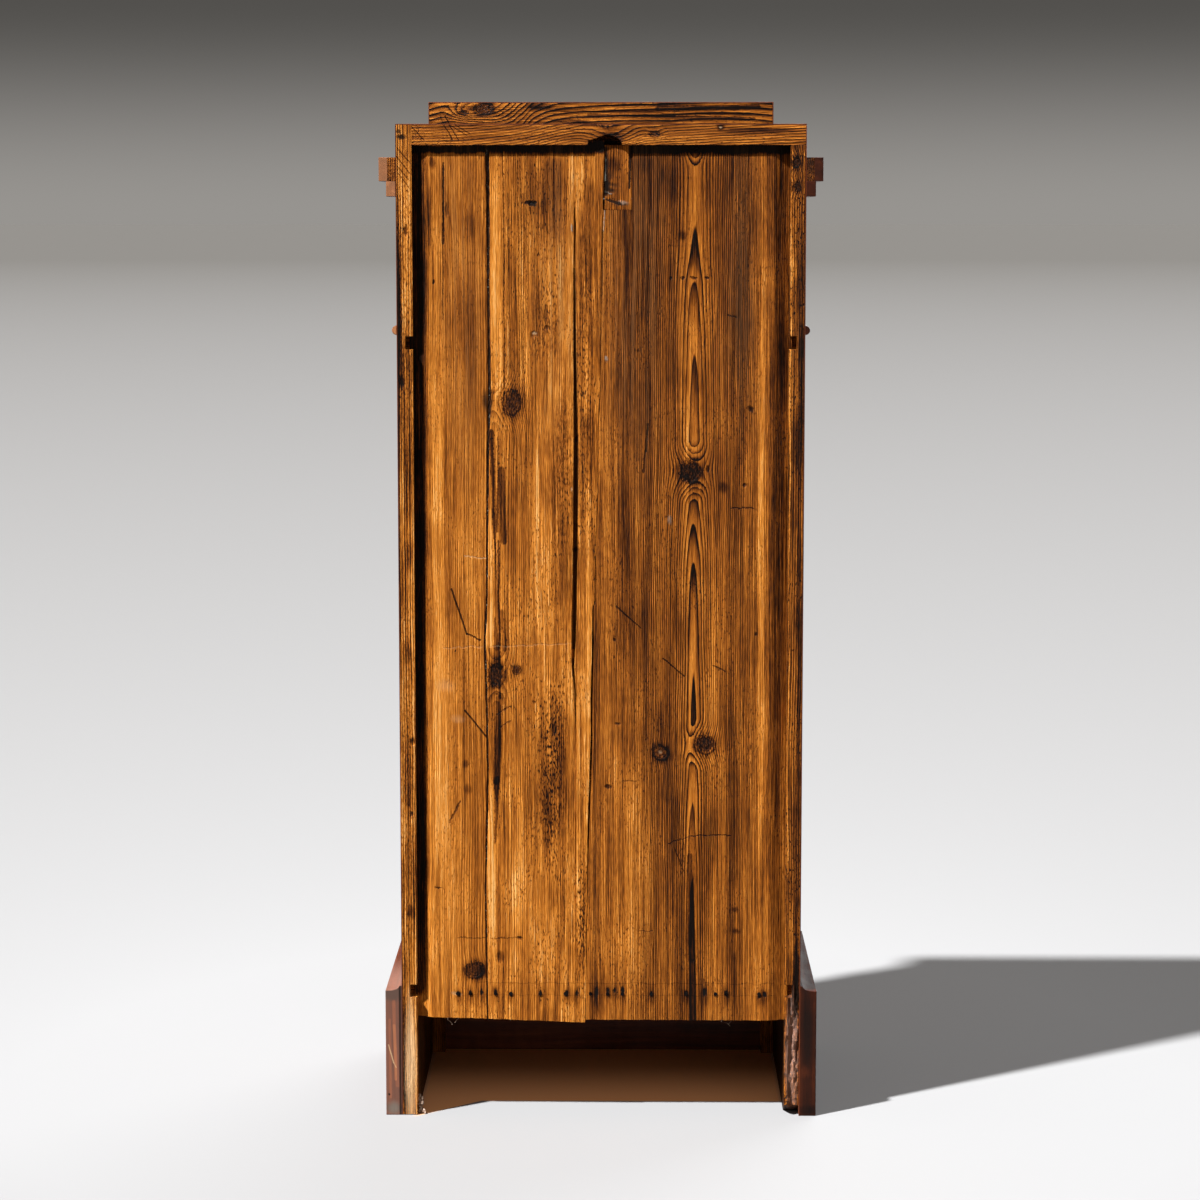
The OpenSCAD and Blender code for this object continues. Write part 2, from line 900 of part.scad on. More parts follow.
// One mitred bar of the panel's moulding, along +X from the origin, with its width along +Z
module moulding_bar(length) {
    steps = 6;
    flat = moulding_w * 0.25;
    low = panel_set - moulding_edge;
    cut = mitre_gap / 2;
    intersection() {
        rotate([90, 0, 90]) linear_extrude(length) polygon(concat(
            [[panel_set, 0], [-moulding_proud, 0]],
            [for (i = [0 : steps]) let (a = 90 * i / steps)
                [low - (low + moulding_proud) * cos(a), flat + (moulding_w - flat) * sin(a)]],
            [[panel_set, moulding_w]]
        ));
        translate([0, panel_set, 0]) rotate([90, 0, 0]) linear_extrude(panel_set + moulding_proud) polygon([
            [cut, 0], [length - cut, 0], [length - moulding_w - cut, moulding_w], [moulding_w + cut, moulding_w]
        ]);
    }
}

module door_moulding() {
    wide = 2 * open_x;
    high = open_high - open_low;
    color(mahogany) translate([0, front_y, 0]) {
        translate([-open_x, 0, open_low]) moulding_bar(wide);
        translate([open_x, 0, open_high]) rotate([0, 180, 0]) moulding_bar(wide);
        translate([open_x, 0, open_low]) rotate([0, -90, 0]) moulding_bar(high);
        translate([-open_x, 0, open_high]) rotate([0, 90, 0]) moulding_bar(high);
    }
}

// A lock is drawn with the keyhole on Y, the board's face at Y = 0 and the bolt leaving along +Z
module lock_block(board_t) {
    span([-case_w / 2, board_t - case_t, backset - case_l], [case_w / 2, board_t, backset]);
}

module lock_shell(board_t) {
    bolt_y = board_t - bolt_rear - bolt_t;
    difference() {
        lock_block(board_t);
        span(
            [-case_w / 2 + case_wall, board_t - case_t + case_wall, backset - case_l + case_wall],
            [case_w / 2 - case_wall, board_t - case_wall, backset - case_wall]
        );
        span(
            [-bolt_w / 2 - play, bolt_y - play, backset - case_wall - over],
            [bolt_w / 2 + play, bolt_y + bolt_t + play / 2, backset + over]
        );
        translate([0, board_t + over, 0]) rotate([90, 0, 0]) cylinder(r = key_r + pin_play, h = case_wall + 2 * over);
    }
}

module bolt(board_t) {
    bolt_y = board_t - bolt_rear - bolt_t;
    span([-bolt_w / 2, bolt_y, backset - play - bolt_l], [bolt_w / 2, bolt_y + bolt_t, backset - play]);
}

// Upright keyhole through a board, from one depth to another
module keyhole(from_y, to_y) {
    run_forward(to_y, from_y) union() {
        circle(r = key_hole_r);
        translate([-slot_w / 2, -slot_l]) square([slot_w, slot_l]);
    }
}

module key(board_t) {
    bow_y = -(key_reach - bow_r);
    neck_y = bow_y + bow_r - bow_wire;
    tip_y = board_t - play;
    bit_y = board_t - case_t + case_wall + 1;
    color(iron) {
        translate([0, tip_y, 0]) rotate([90, 0, 0]) cylinder(r = key_r, h = tip_y - neck_y);
        span([-bit_t / 2, bit_y, -bit_l], [bit_t / 2, bit_y + bit_w, 0]);
        translate([0, bow_y, 0]) rotate([0, 90, 0]) rotate_extrude() translate([bow_r - bow_wire, 0]) circle(r = bow_wire, $fn = 24);
    }
}

module escutcheon() {
    straight = escutcheon_h - escutcheon_w;
    drop = slot_l / 3;
    color(old_brass) difference() {
        run_forward(0, -plate_t) translate([0, -drop]) union() {
            translate([0, straight / 2]) circle(r = escutcheon_w / 2);
            translate([0, -straight / 2]) circle(r = escutcheon_w / 2);
            translate([-escutcheon_w / 2, -straight / 2]) square([escutcheon_w, straight]);
        }
        keyhole(-plate_t - over, over);
    }
}

// Space for the strike plate and the bolt's mortise, from the face that the bolt enters
module strike_block(board_t) {
    bolt_y = board_t - bolt_rear - bolt_t;
    strike_plate_block(board_t);
    span([-bolt_w / 2 - play, bolt_y - play, 0], [bolt_w / 2 + play, bolt_y + bolt_t + play, mortise_in]);
}

module strike_plate_block(board_t) {
    bolt_mid = board_t - bolt_rear - bolt_t / 2;
    span([-bolt_w, bolt_mid - bolt_t, 0], [bolt_w, bolt_mid + bolt_t, plate_t]);
}

module strike(board_t) {
    bolt_y = board_t - bolt_rear - bolt_t;
    difference() {
        strike_plate_block(board_t);
        span([-bolt_w / 2 - play, bolt_y - play, -over], [bolt_w / 2 + play, bolt_y + bolt_t + play, mortise_in]);
    }
}

module at_door_key() {
    translate([key_door_x, front_y, door_key_z]) children();
}

module at_drawer_key() {
    translate([0, front_y, key_drawer_z]) children();
}

module at_door_strike() {
    translate([-inner_x, front_y, door_key_z]) rotate([0, -90, 0]) children();
}

module at_drawer_strike() {
    translate([0, front_y, zone_top]) children();
}

module door_strike_space() {
    at_door_strike() strike_block(door_t);
}

module drawer_strike_space() {
    at_drawer_strike() strike_block(drawer_front_t);
}

module strike_plates() {
    color(old_brass) {
        at_door_strike() strike(door_t);
        at_drawer_strike() strike(drawer_front_t);
    }
}

module door_escutcheon() {
    at_door_key() escutcheon();
}

module door_lock_case() {
    color(iron) at_door_key() difference() {
        rotate([0, -90, 0]) lock_shell(door_t);
        keyhole(0, door_t - case_t / 2);
    }
}

module door_bolt() {
    color(iron) at_door_key() rotate([0, -90, 0]) bolt(door_t);
}

module door_key() {
    at_door_key() key(door_t);
}

// Plan of a drawer side; its front end is a dovetail that slides down into the front
module drawer_side_plan(s) {
    flare = drawer_side_t / 4;
    on_side(s) polygon([
        [drawer_x, drawer_end], [drawer_x, drawer_y], [drawer_x + flare, drawer_y - drawer_joint],
        [drawer_x - drawer_side_t - flare, drawer_y - drawer_joint],
        [drawer_x - drawer_side_t, drawer_y], [drawer_x - drawer_side_t, drawer_end]
    ]);
}

// Space for the drawer bottom in the front and the sides
module drawer_bottom_block() {
    low = drawer_floor + drawer_bottom_up;
    groove_x = drawer_x - drawer_groove;
    span([-groove_x, drawer_y - drawer_groove, low], [groove_x, drawer_end, low + drawer_bottom_t]);
}

module drawer_front() {
    color(mahogany) difference() {
        span([-half_w, front_y, drawer_floor], [half_w, drawer_y, drawer_front_top]);
        for (s = [-1, 1]) run_up(drawer_floor - over, drawer_top) drawer_side_plan(s);
        drawer_bottom_block();
        at_drawer_key() {
            lock_block(drawer_front_t);
            keyhole(0, drawer_front_t);
        }
    }
}

module drawer_sides() {
    color(pine) difference() {
        for (s = [-1, 1]) run_up(drawer_floor, drawer_top) drawer_side_plan(s);
        drawer_bottom_block();
        drawer_back_block();
    }
}

// The drawer back stands on the bottom and is housed in the sides
module drawer_back_block() {
    back_x = drawer_x - drawer_groove;
    low = drawer_floor + drawer_bottom_up + drawer_bottom_t;
    span([-back_x, drawer_end - 2 * drawer_side_t, low], [back_x, drawer_end - drawer_side_t, drawer_top]);
}

module drawer_back() {
    color(pine) drawer_back_block();
}

module drawer_bottom() {
    color(dark_pine) drawer_bottom_block();
}

// Bead across the drawer front and round its ends, mitred at the corners
module drawer_bead() {
    color(veneer_red) difference() {
        union() {
            bead_bar_front(half_w);
            for (s = [-1, 1]) on_side(s) {
                bead_bar_side(front_y, drawer_y);
                intersection() {
                    bead_bar_front(half_w + bead_r);
                    bead_bar_side(front_y - bead_r, drawer_y);
                }
            }
        }
        span([-half_w, front_y, bead_z - bead_r - over], [half_w, drawer_y + over, bead_z + bead_r + over]);
    }
}

module drawer_escutcheon() {
    at_drawer_key() escutcheon();
}

module drawer_lock_case() {
    color(iron) at_drawer_key() difference() {
        lock_shell(drawer_front_t);
        keyhole(0, drawer_front_t - case_t / 2);
    }
}

module drawer_bolt() {
    color(iron) at_drawer_key() bolt(drawer_front_t);
}

module drawer_key() {
    at_drawer_key() key(drawer_front_t);
}

side_left();
side_right();
side_veneer_left();
side_veneer_right();
top_board();
top_veneer();
attic_board();
attic_veneer();
frieze_rail();
front_veneer();
dust_board();
bottom_board();
cornice_core_left();
cornice_core_right();
cornice_core_front();
cornice_fascia_left();
cornice_fascia_right();
cornice_fascia_front();
architrave_left();
architrave_right();
architrave_front();
bead_left();
bead_right();
plinth_left();
plinth_right();
plinth_front();
plinth_blocks();
back_board_right();
back_board_middle();
back_board_left();
back_patch();
back_nails();
shelves();
shelf_cleats();
door_stop();
strike_plates();
hinge_leaves_frame();
hinge_pins();
hinge_screws_frame();
door_stile_hinge();
door_stile_lock();
door_rail_high();
door_rail_low();
door_panel();
door_moulding();
door_escutcheon();
door_lock_case();
hinge_leaves_door();
hinge_screws_door();
door_bolt();
door_key();
drawer_front();
drawer_sides();
drawer_back();
drawer_bottom();
drawer_bead();
drawer_escutcheon();
drawer_lock_case();
drawer_bolt();
drawer_key();
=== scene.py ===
import bpy
import bmesh
import math
import random
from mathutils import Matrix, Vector, noise


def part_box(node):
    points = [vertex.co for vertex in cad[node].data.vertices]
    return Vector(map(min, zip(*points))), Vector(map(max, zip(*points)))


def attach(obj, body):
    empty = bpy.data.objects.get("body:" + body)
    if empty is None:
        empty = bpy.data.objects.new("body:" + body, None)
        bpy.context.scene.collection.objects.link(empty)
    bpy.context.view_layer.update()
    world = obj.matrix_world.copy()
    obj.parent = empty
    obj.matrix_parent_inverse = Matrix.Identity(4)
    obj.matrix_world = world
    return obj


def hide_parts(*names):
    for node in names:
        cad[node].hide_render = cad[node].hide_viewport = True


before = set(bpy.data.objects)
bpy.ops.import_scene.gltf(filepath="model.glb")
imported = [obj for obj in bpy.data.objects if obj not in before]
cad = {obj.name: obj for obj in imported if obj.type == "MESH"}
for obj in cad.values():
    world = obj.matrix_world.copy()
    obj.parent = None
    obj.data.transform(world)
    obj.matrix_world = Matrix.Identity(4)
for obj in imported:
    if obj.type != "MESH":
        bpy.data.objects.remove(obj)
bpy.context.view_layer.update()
print("frame loaded:", len(cad), "CAD nodes")


def tone(red, green, blue):
    # a colour as a screen shows it, 0 to 255 each
    def light(c):
        c = c / 255
        return c / 12.92 if c <= 0.04045 else ((c + 0.055) / 1.055) ** 2.4
    return (light(red), light(green), light(blue), 1.0)


class Wire:
    # a socket that takes part in sums
    def __init__(self, finish, socket):
        self.finish = finish
        self.socket = socket

    def __add__(self, other):
        return self.finish.math("ADD", self, other)

    def __radd__(self, other):
        return self.finish.math("ADD", other, self)

    def __sub__(self, other):
        return self.finish.math("SUBTRACT", self, other)

    def __rsub__(self, other):
        return self.finish.math("SUBTRACT", other, self)

    def __mul__(self, other):
        return self.finish.math("MULTIPLY", self, other)

    def __rmul__(self, other):
        return self.finish.math("MULTIPLY", other, self)

    def __truediv__(self, other):
        return self.finish.math("DIVIDE", self, other)

    def __pow__(self, other):
        return self.finish.math("POWER", self, other)


class Finish:
    # the nodes that make one material, or those of a world that is handed in
    def __init__(self, name, world=None):
        self.owner = world or bpy.data.materials.new(name)
        self.owner.use_nodes = True
        self.tree = self.owner.node_tree
        self.tree.nodes.clear()

    def add(self, kind, settings=None, inputs=None, output=0):
        node = self.tree.nodes.new(kind)
        for key, value in (settings or {}).items():
            if key == "stops":
                self.fillRamp(node, value)
            elif key == "points":
                self.fillCurve(node, value)
            else:
                setattr(node, key, value)
        for key, value in (inputs or {}).items():
            if isinstance(value, Wire):
                self.tree.links.new(value.socket, node.inputs[key])
            else:
                node.inputs[key].default_value = value
        return Wire(self, node.outputs[output]) if node.outputs else None

    def fillRamp(self, node, stops):
        ramp = node.color_ramp
        while len(ramp.elements) < len(stops):
            ramp.elements.new(0.5)
        for element, (place, colour) in zip(ramp.elements, stops):
            element.position = place
            element.color = colour

    def fillCurve(self, node, points):
        curve = node.mapping.curves[0]
        while len(curve.points) < len(points):
            curve.points.new(0.5, 0.5)
        for point, place in zip(curve.points, points):
            point.location = place
        node.mapping.update()

    def math(self, operation, *values, clamp=False):
        settings = {"operation": operation, "use_clamp": clamp}
        return self.add("ShaderNodeMath", settings, dict(enumerate(values)))

    def vector(self, operation, *values, output=0):
        settings = {"operation": operation}
        return self.add("ShaderNodeVectorMath", settings, dict(enumerate(values)), output)

    def mix(self, amount, first, second, blend="MIX"):
        settings = {"data_type": "RGBA", "blend_type": blend}
        return self.add("ShaderNodeMix", settings, {0: amount, 6: first, 7: second}, 2)

    def fade(self, value, start, end, low=0.0, high=1.0):
        # a smooth step from low at start to high at end
        return self.add("ShaderNodeMapRange", {"interpolation_type": "SMOOTHSTEP"},
                        {0: value, 1: start, 2: end, 3: low, 4: high})

    def grit(self, place, stretch, detail=2.0, rough=0.5):
        # noise that is drawn out along some directions; stretch is in cycles per metre
        stretched = self.vector("MULTIPLY", place, stretch)
        return self.add("ShaderNodeTexNoise", {"noise_dimensions": "3D"},
                        {"Vector": stretched, "Scale": 1.0, "Detail": detail, "Roughness": rough})

    def place(self):
        return self.add("ShaderNodeTexCoord", output="Object")

    def split(self, vector):
        first = self.add("ShaderNodeSeparateXYZ", None, {0: vector})
        return [Wire(self, output) for output in first.socket.node.outputs]

    def join(self, x, y, z):
        return self.add("ShaderNodeCombineXYZ", None, {0: x, 1: y, 2: z})

    def spot(self, flat, across, along, wide, tall, soft=0.5):
        # 1 inside an ellipse on the board's face, 0 outside it
        size = (1 / wide, 1 / tall, 1)
        shift = (-across / wide, -along / tall, 0)
        reach = self.vector("LENGTH", self.vector("MULTIPLY_ADD", flat, size, shift), output="Value")
        return self.fade(reach, 1 + soft, 1 - soft)

    def stroke(self, flat, start, end, width, soft=0.4):
        # 1 on a straight scratch between two places on the board's face; two widths make it taper
        first, last = width if isinstance(width, tuple) else (width, width)
        run = (end[0] - start[0], end[1] - start[1])
        length = run[0] ** 2 + run[1] ** 2
        way = (run[0] / length, run[1] / length, 0)
        base = start[0] * way[0] + start[1] * way[1]
        passed = self.vector("DOT_PRODUCT", flat, way, output="Value")
        share = self.math("SUBTRACT", passed, base, clamp=True)
        nearest = self.vector("MULTIPLY_ADD", self.join(share, share, 0), (*run, 0), (*start, 0))
        gap = self.vector("DISTANCE", flat, nearest, output="Value")
        reach = gap / self.math("MULTIPLY_ADD", share, last - first, first)
        return self.fade(reach, 1 + soft, 1 - soft)

    def mark(self, flat, where):
        # a spot has a place, two half sizes and a softness; a stroke has two ends and a width
        if len(where) == 5:
            return self.spot(flat, *where[:4], soft=where[4])
        return self.stroke(flat, *where)

    def seen(self):
        # 1 for what the camera, a mirror or a glass shows, and 0 for light on its way to the object
        rays = [self.add("ShaderNodeLightPath", output="Is " + kind + " Ray")
                for kind in ("Camera", "Glossy", "Transmission")]
        return self.math("MAXIMUM", self.math("MAXIMUM", rays[0], rays[1]), rays[2])

    def finish(self, colour, rough, height=None, depth=0.0004, **even):
        inputs = {"Base Color": colour, "Roughness": rough}
        if height is not None:
            bump = {"Strength": 1.0, "Distance": depth, "Height": height}
            inputs["Normal"] = self.add("ShaderNodeBump", None, bump)
        inputs.update({key.replace("_", " "): value for key, value in even.items()})
        skin = self.add("ShaderNodeBsdfPrincipled", None, inputs)
        self.add("ShaderNodeOutputMaterial", None, {"Surface": skin})
        return self.owner


# Old waxed pine from its darkest to its lightest, as one scale that every mark moves along
pineScale = [
    (0.0, tone(15, 6, 2)), (0.15, tone(62, 28, 6)), (0.35, tone(112, 59, 15)), (0.55, tone(164, 93, 28)),
    (0.75, tone(212, 131, 46)), (0.9, tone(240, 158, 68)), (1.0, tone(250, 186, 108)),
]
# Marks of these kinds have a colour of their own; the rest make the wood lighter or darker by an amount
# The soot colour also paints shade in a crack and a notch, and the haze colour paints a sheen on a plinth as
# well as dust
overlays = {"filler": tone(158, 154, 142), "pale": tone(222, 186, 142), "soot": tone(20, 15, 13),
            "haze": tone(190, 152, 136), "grey": tone(116, 80, 48)}
# How fine each layer of the grain is, in cycles per metre across, along and through the board
pineGrain = {
    "wander": (9, 2.6, 9),
    "ripple": (60, 11, 60),
    "jitter": (420, 260, 420),
    "broad": (30, 1.3, 30),
    "streak": (170, 3.5, 170),
    "line": (620, 7, 620),
    "fibre": (1700, 60, 1700),
    "cloud": (22, 9, 22),
    "speck": (560, 150, 560),
}
pineGloss = {"shiny": 0.42, "dull": 0.6, "level": 0.08, "relief": 0.0015}
# Painted shade on the inside of a side below the bottom board, where no light reaches: how far in it starts,
# and how high
innerShade = {"start": 0.206, "full": 0.190, "low": 0.150, "high": 0.175}


def ringsOf(f, board, across, along, deep, marked):
    # growth rings are shells round a pith behind the face; a face that runs out of them shows pointed figure
    pitch = board["pitch"]
    seed = board["seed"]
    if "rings" in board:
        low, high = board["span"]
        top = max(p[1] for p in board["rings"]) + 1.0
        share = (along - low) / (high - low)
        shaped = [((p[0] - low) / (high - low), p[1] / top) for p in board["rings"]]
        grown = f.add("ShaderNodeFloatCurve", {"points": shaped}, {1: share}) * top
    else:
        grown = f.grit(f.join(seed, along, 0.0), (1, 1.3, 1), 1.0) * board.get("sway", 7.0)
    far = grown + (deep - board["face"]) / pitch + board["heart"]
    off = (across - board["centre"]) / pitch
    rings = off + far if board.get("slanted") else (off * off + far * far) ** 0.5
    knots = []
    for k in board.get("knots", []):
        size = (1 / k["size"], 1 / (k["size"] * k.get("long", 1.2)), 1)
        shift = (-k["across"] * size[0], -k["along"] * size[1], 0)
        reach = f.vector("LENGTH", f.vector("MULTIPLY_ADD", marked, size, shift), output="Value")
        rings = rings + f.fade(reach, k.get("spread", 3.6), 0.2, 0.0, k.get("push", 3.0))
        knots.append((reach, k))
    return rings, off, knots


def pineMarks(f, board, marked, streak, speck, bright, height):
    # tone and relief of the marks, and the masks of those with a colour of their own
    paint = []
    for kind, *where, amount in board.get("marks", []):
        mask = f.mark(marked, where)
        if kind == "grey":
            paint.append((kind, mask * f.fade(streak, 0.38, 0.62) * amount))
        elif kind in overlays:
            paint.append((kind, mask * amount))
            height = f.math("MULTIPLY_ADD", mask, 0.9 if kind == "filler" else -0.4, height)
        else:
            if kind == "flecks":
                mask = mask * f.fade(speck, 0.47, 0.60)
            bright = f.math("MULTIPLY_ADD", mask, amount, bright)
            if kind == "cut":
                height = f.math("MULTIPLY_ADD", mask, -1.2, height)
    return bright, height, paint


def pineKnots(f, knots, cloud, speck, jitter, bright, height):
    # each knot has rings of its own, a halo and a dark rim
    for reach, k in knots:
        body = f.fade(reach + (cloud - 0.5) * 1.2 + (speck - 0.5) * 0.5, 1.1, 0.85)
        rim = f.fade(f.math("ABSOLUTE", reach + (jitter - 0.5) * 0.9 - 1.2), 0.26, 0.05)
        circles = f.math("PINGPONG", reach * 2.3 + (jitter - 0.5) * 2.2, 0.5)
        heart = circles * 0.34 + (speck - 0.5) * 0.9 + (cloud - 0.5) * 0.5 + k.get("warm", -0.04)
        bright = bright - f.fade(reach, 2.3, 1.0) * k.get("halo", 0.16)
        bright = f.math("MULTIPLY_ADD", heart - bright, body * k.get("dark", 1.0), bright)
        bright = bright - rim * k.get("rim", 0.3)
        height = height - body * 0.9 + circles * body * 1.2
    return bright, height


def pineFinish(name, board):
    f = Finish(name)
    axes = dict(zip("xyz", f.split(f.place())))
    acrossAxis, along, deep = (axes[a] for a in board["axes"])
    seed = board["seed"]
    coarse = f.join(acrossAxis + seed, along, deep)
    wander = f.grit(coarse, pineGrain["wander"], 1.5)
    ripple = f.grit(coarse, pineGrain["ripple"], 1.0)
    jitter = f.grit(coarse, pineGrain["jitter"], 1.0)
    across = acrossAxis + (wander - 0.5) * board["wander"] + (ripple - 0.5) * board["ripple"]
    bend = (ripple - 0.5) * 0.005 + (jitter - 0.5) * 0.003
    marked = f.join(acrossAxis + bend, along + bend * 1.5, 0.0)
    rings, off, knots = ringsOf(f, board, across, along, deep, marked)
    pitch = board["pitch"]
    ringShare = f.math("FRACT", rings)
    number = f.math("FLOOR", rings) + seed
    ringTone = f.add("ShaderNodeTexWhiteNoise", {"noise_dimensions": "1D"}, {"W": number})
    boldSpan = (board["bold"] / pitch, board["bold"] * 2.4 / pitch)
    bold = f.fade(f.math("ABSOLUTE", off), *boldSpan, 1.0, board["faint"])
    late = ringShare ** board["sharp"] * f.fade(ringShare, 1.0, 0.93) * (ringTone * 0.7 + 0.45) * bold
    grain = f.join(across, along, deep + seed)
    broad = f.grit(grain, pineGrain["broad"], 2.0)
    streak = f.grit(grain, pineGrain["streak"], 2.0, 0.6)
    line = f.grit(grain, pineGrain["line"], 2.0, 0.6)
    fibre = f.grit(grain, pineGrain["fibre"], 1.0)
    cloud = f.grit(grain, pineGrain["cloud"], 3.0, 0.6)
    speck = f.grit(grain, pineGrain["speck"], 1.0)
    pepper = f.fade(speck, 0.58, 0.68) * f.fade(cloud, 0.42, 0.62) * board["pepper"]
    bright = f.fade(along, 0.2, 1.5, *board["level"])
    # the grain's own unevenness, which is quieter where the rings are bold; 1.775 is half its weights
    uneven = broad * 0.6 + streak * 0.65 + line * 0.95 + fibre * 0.7 + cloud * 0.65 - 1.775
    bright = bright + uneven * (1.15 - bold * 0.4) * board.get("busy", 1.0)
    bright = bright - late * board["contrast"] - pepper * 0.4
    # painted shade on the side's inner face below the bottom board
    if "foul" in board:
        inside = f.fade(deep, innerShade["start"], innerShade["full"]) * f.fade(along, innerShade["high"], innerShade["low"])
        bright = bright - inside * board["foul"]
    height = late * 0.35 + line * 1.1 + fibre * 0.45 + streak * 0.9 - pepper * 0.5
    bright, height, paint = pineMarks(f, board, marked, streak, speck, bright, height)
    bright, height = pineKnots(f, knots, cloud, speck, jitter, bright, height)
    colour = f.add("ShaderNodeValToRGB", {"stops": pineScale}, {0: bright})
    rough = f.fade(broad, 0.3, 0.7, pineGloss["shiny"], pineGloss["dull"])
    for kind, mask in paint:
        colour = f.mix(mask, colour, overlays[kind])
        rough = rough + mask * 0.2
    return f.finish(colour, rough, height, pineGloss["relief"], Specular_IOR_Level=pineGloss["level"])


backSpan = (0.15, 1.58)
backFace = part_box("back_board_middle")[1].y
rightJoint = 0.1815      # X of the joints between the boards at their feet
leftJoint = 0.0255
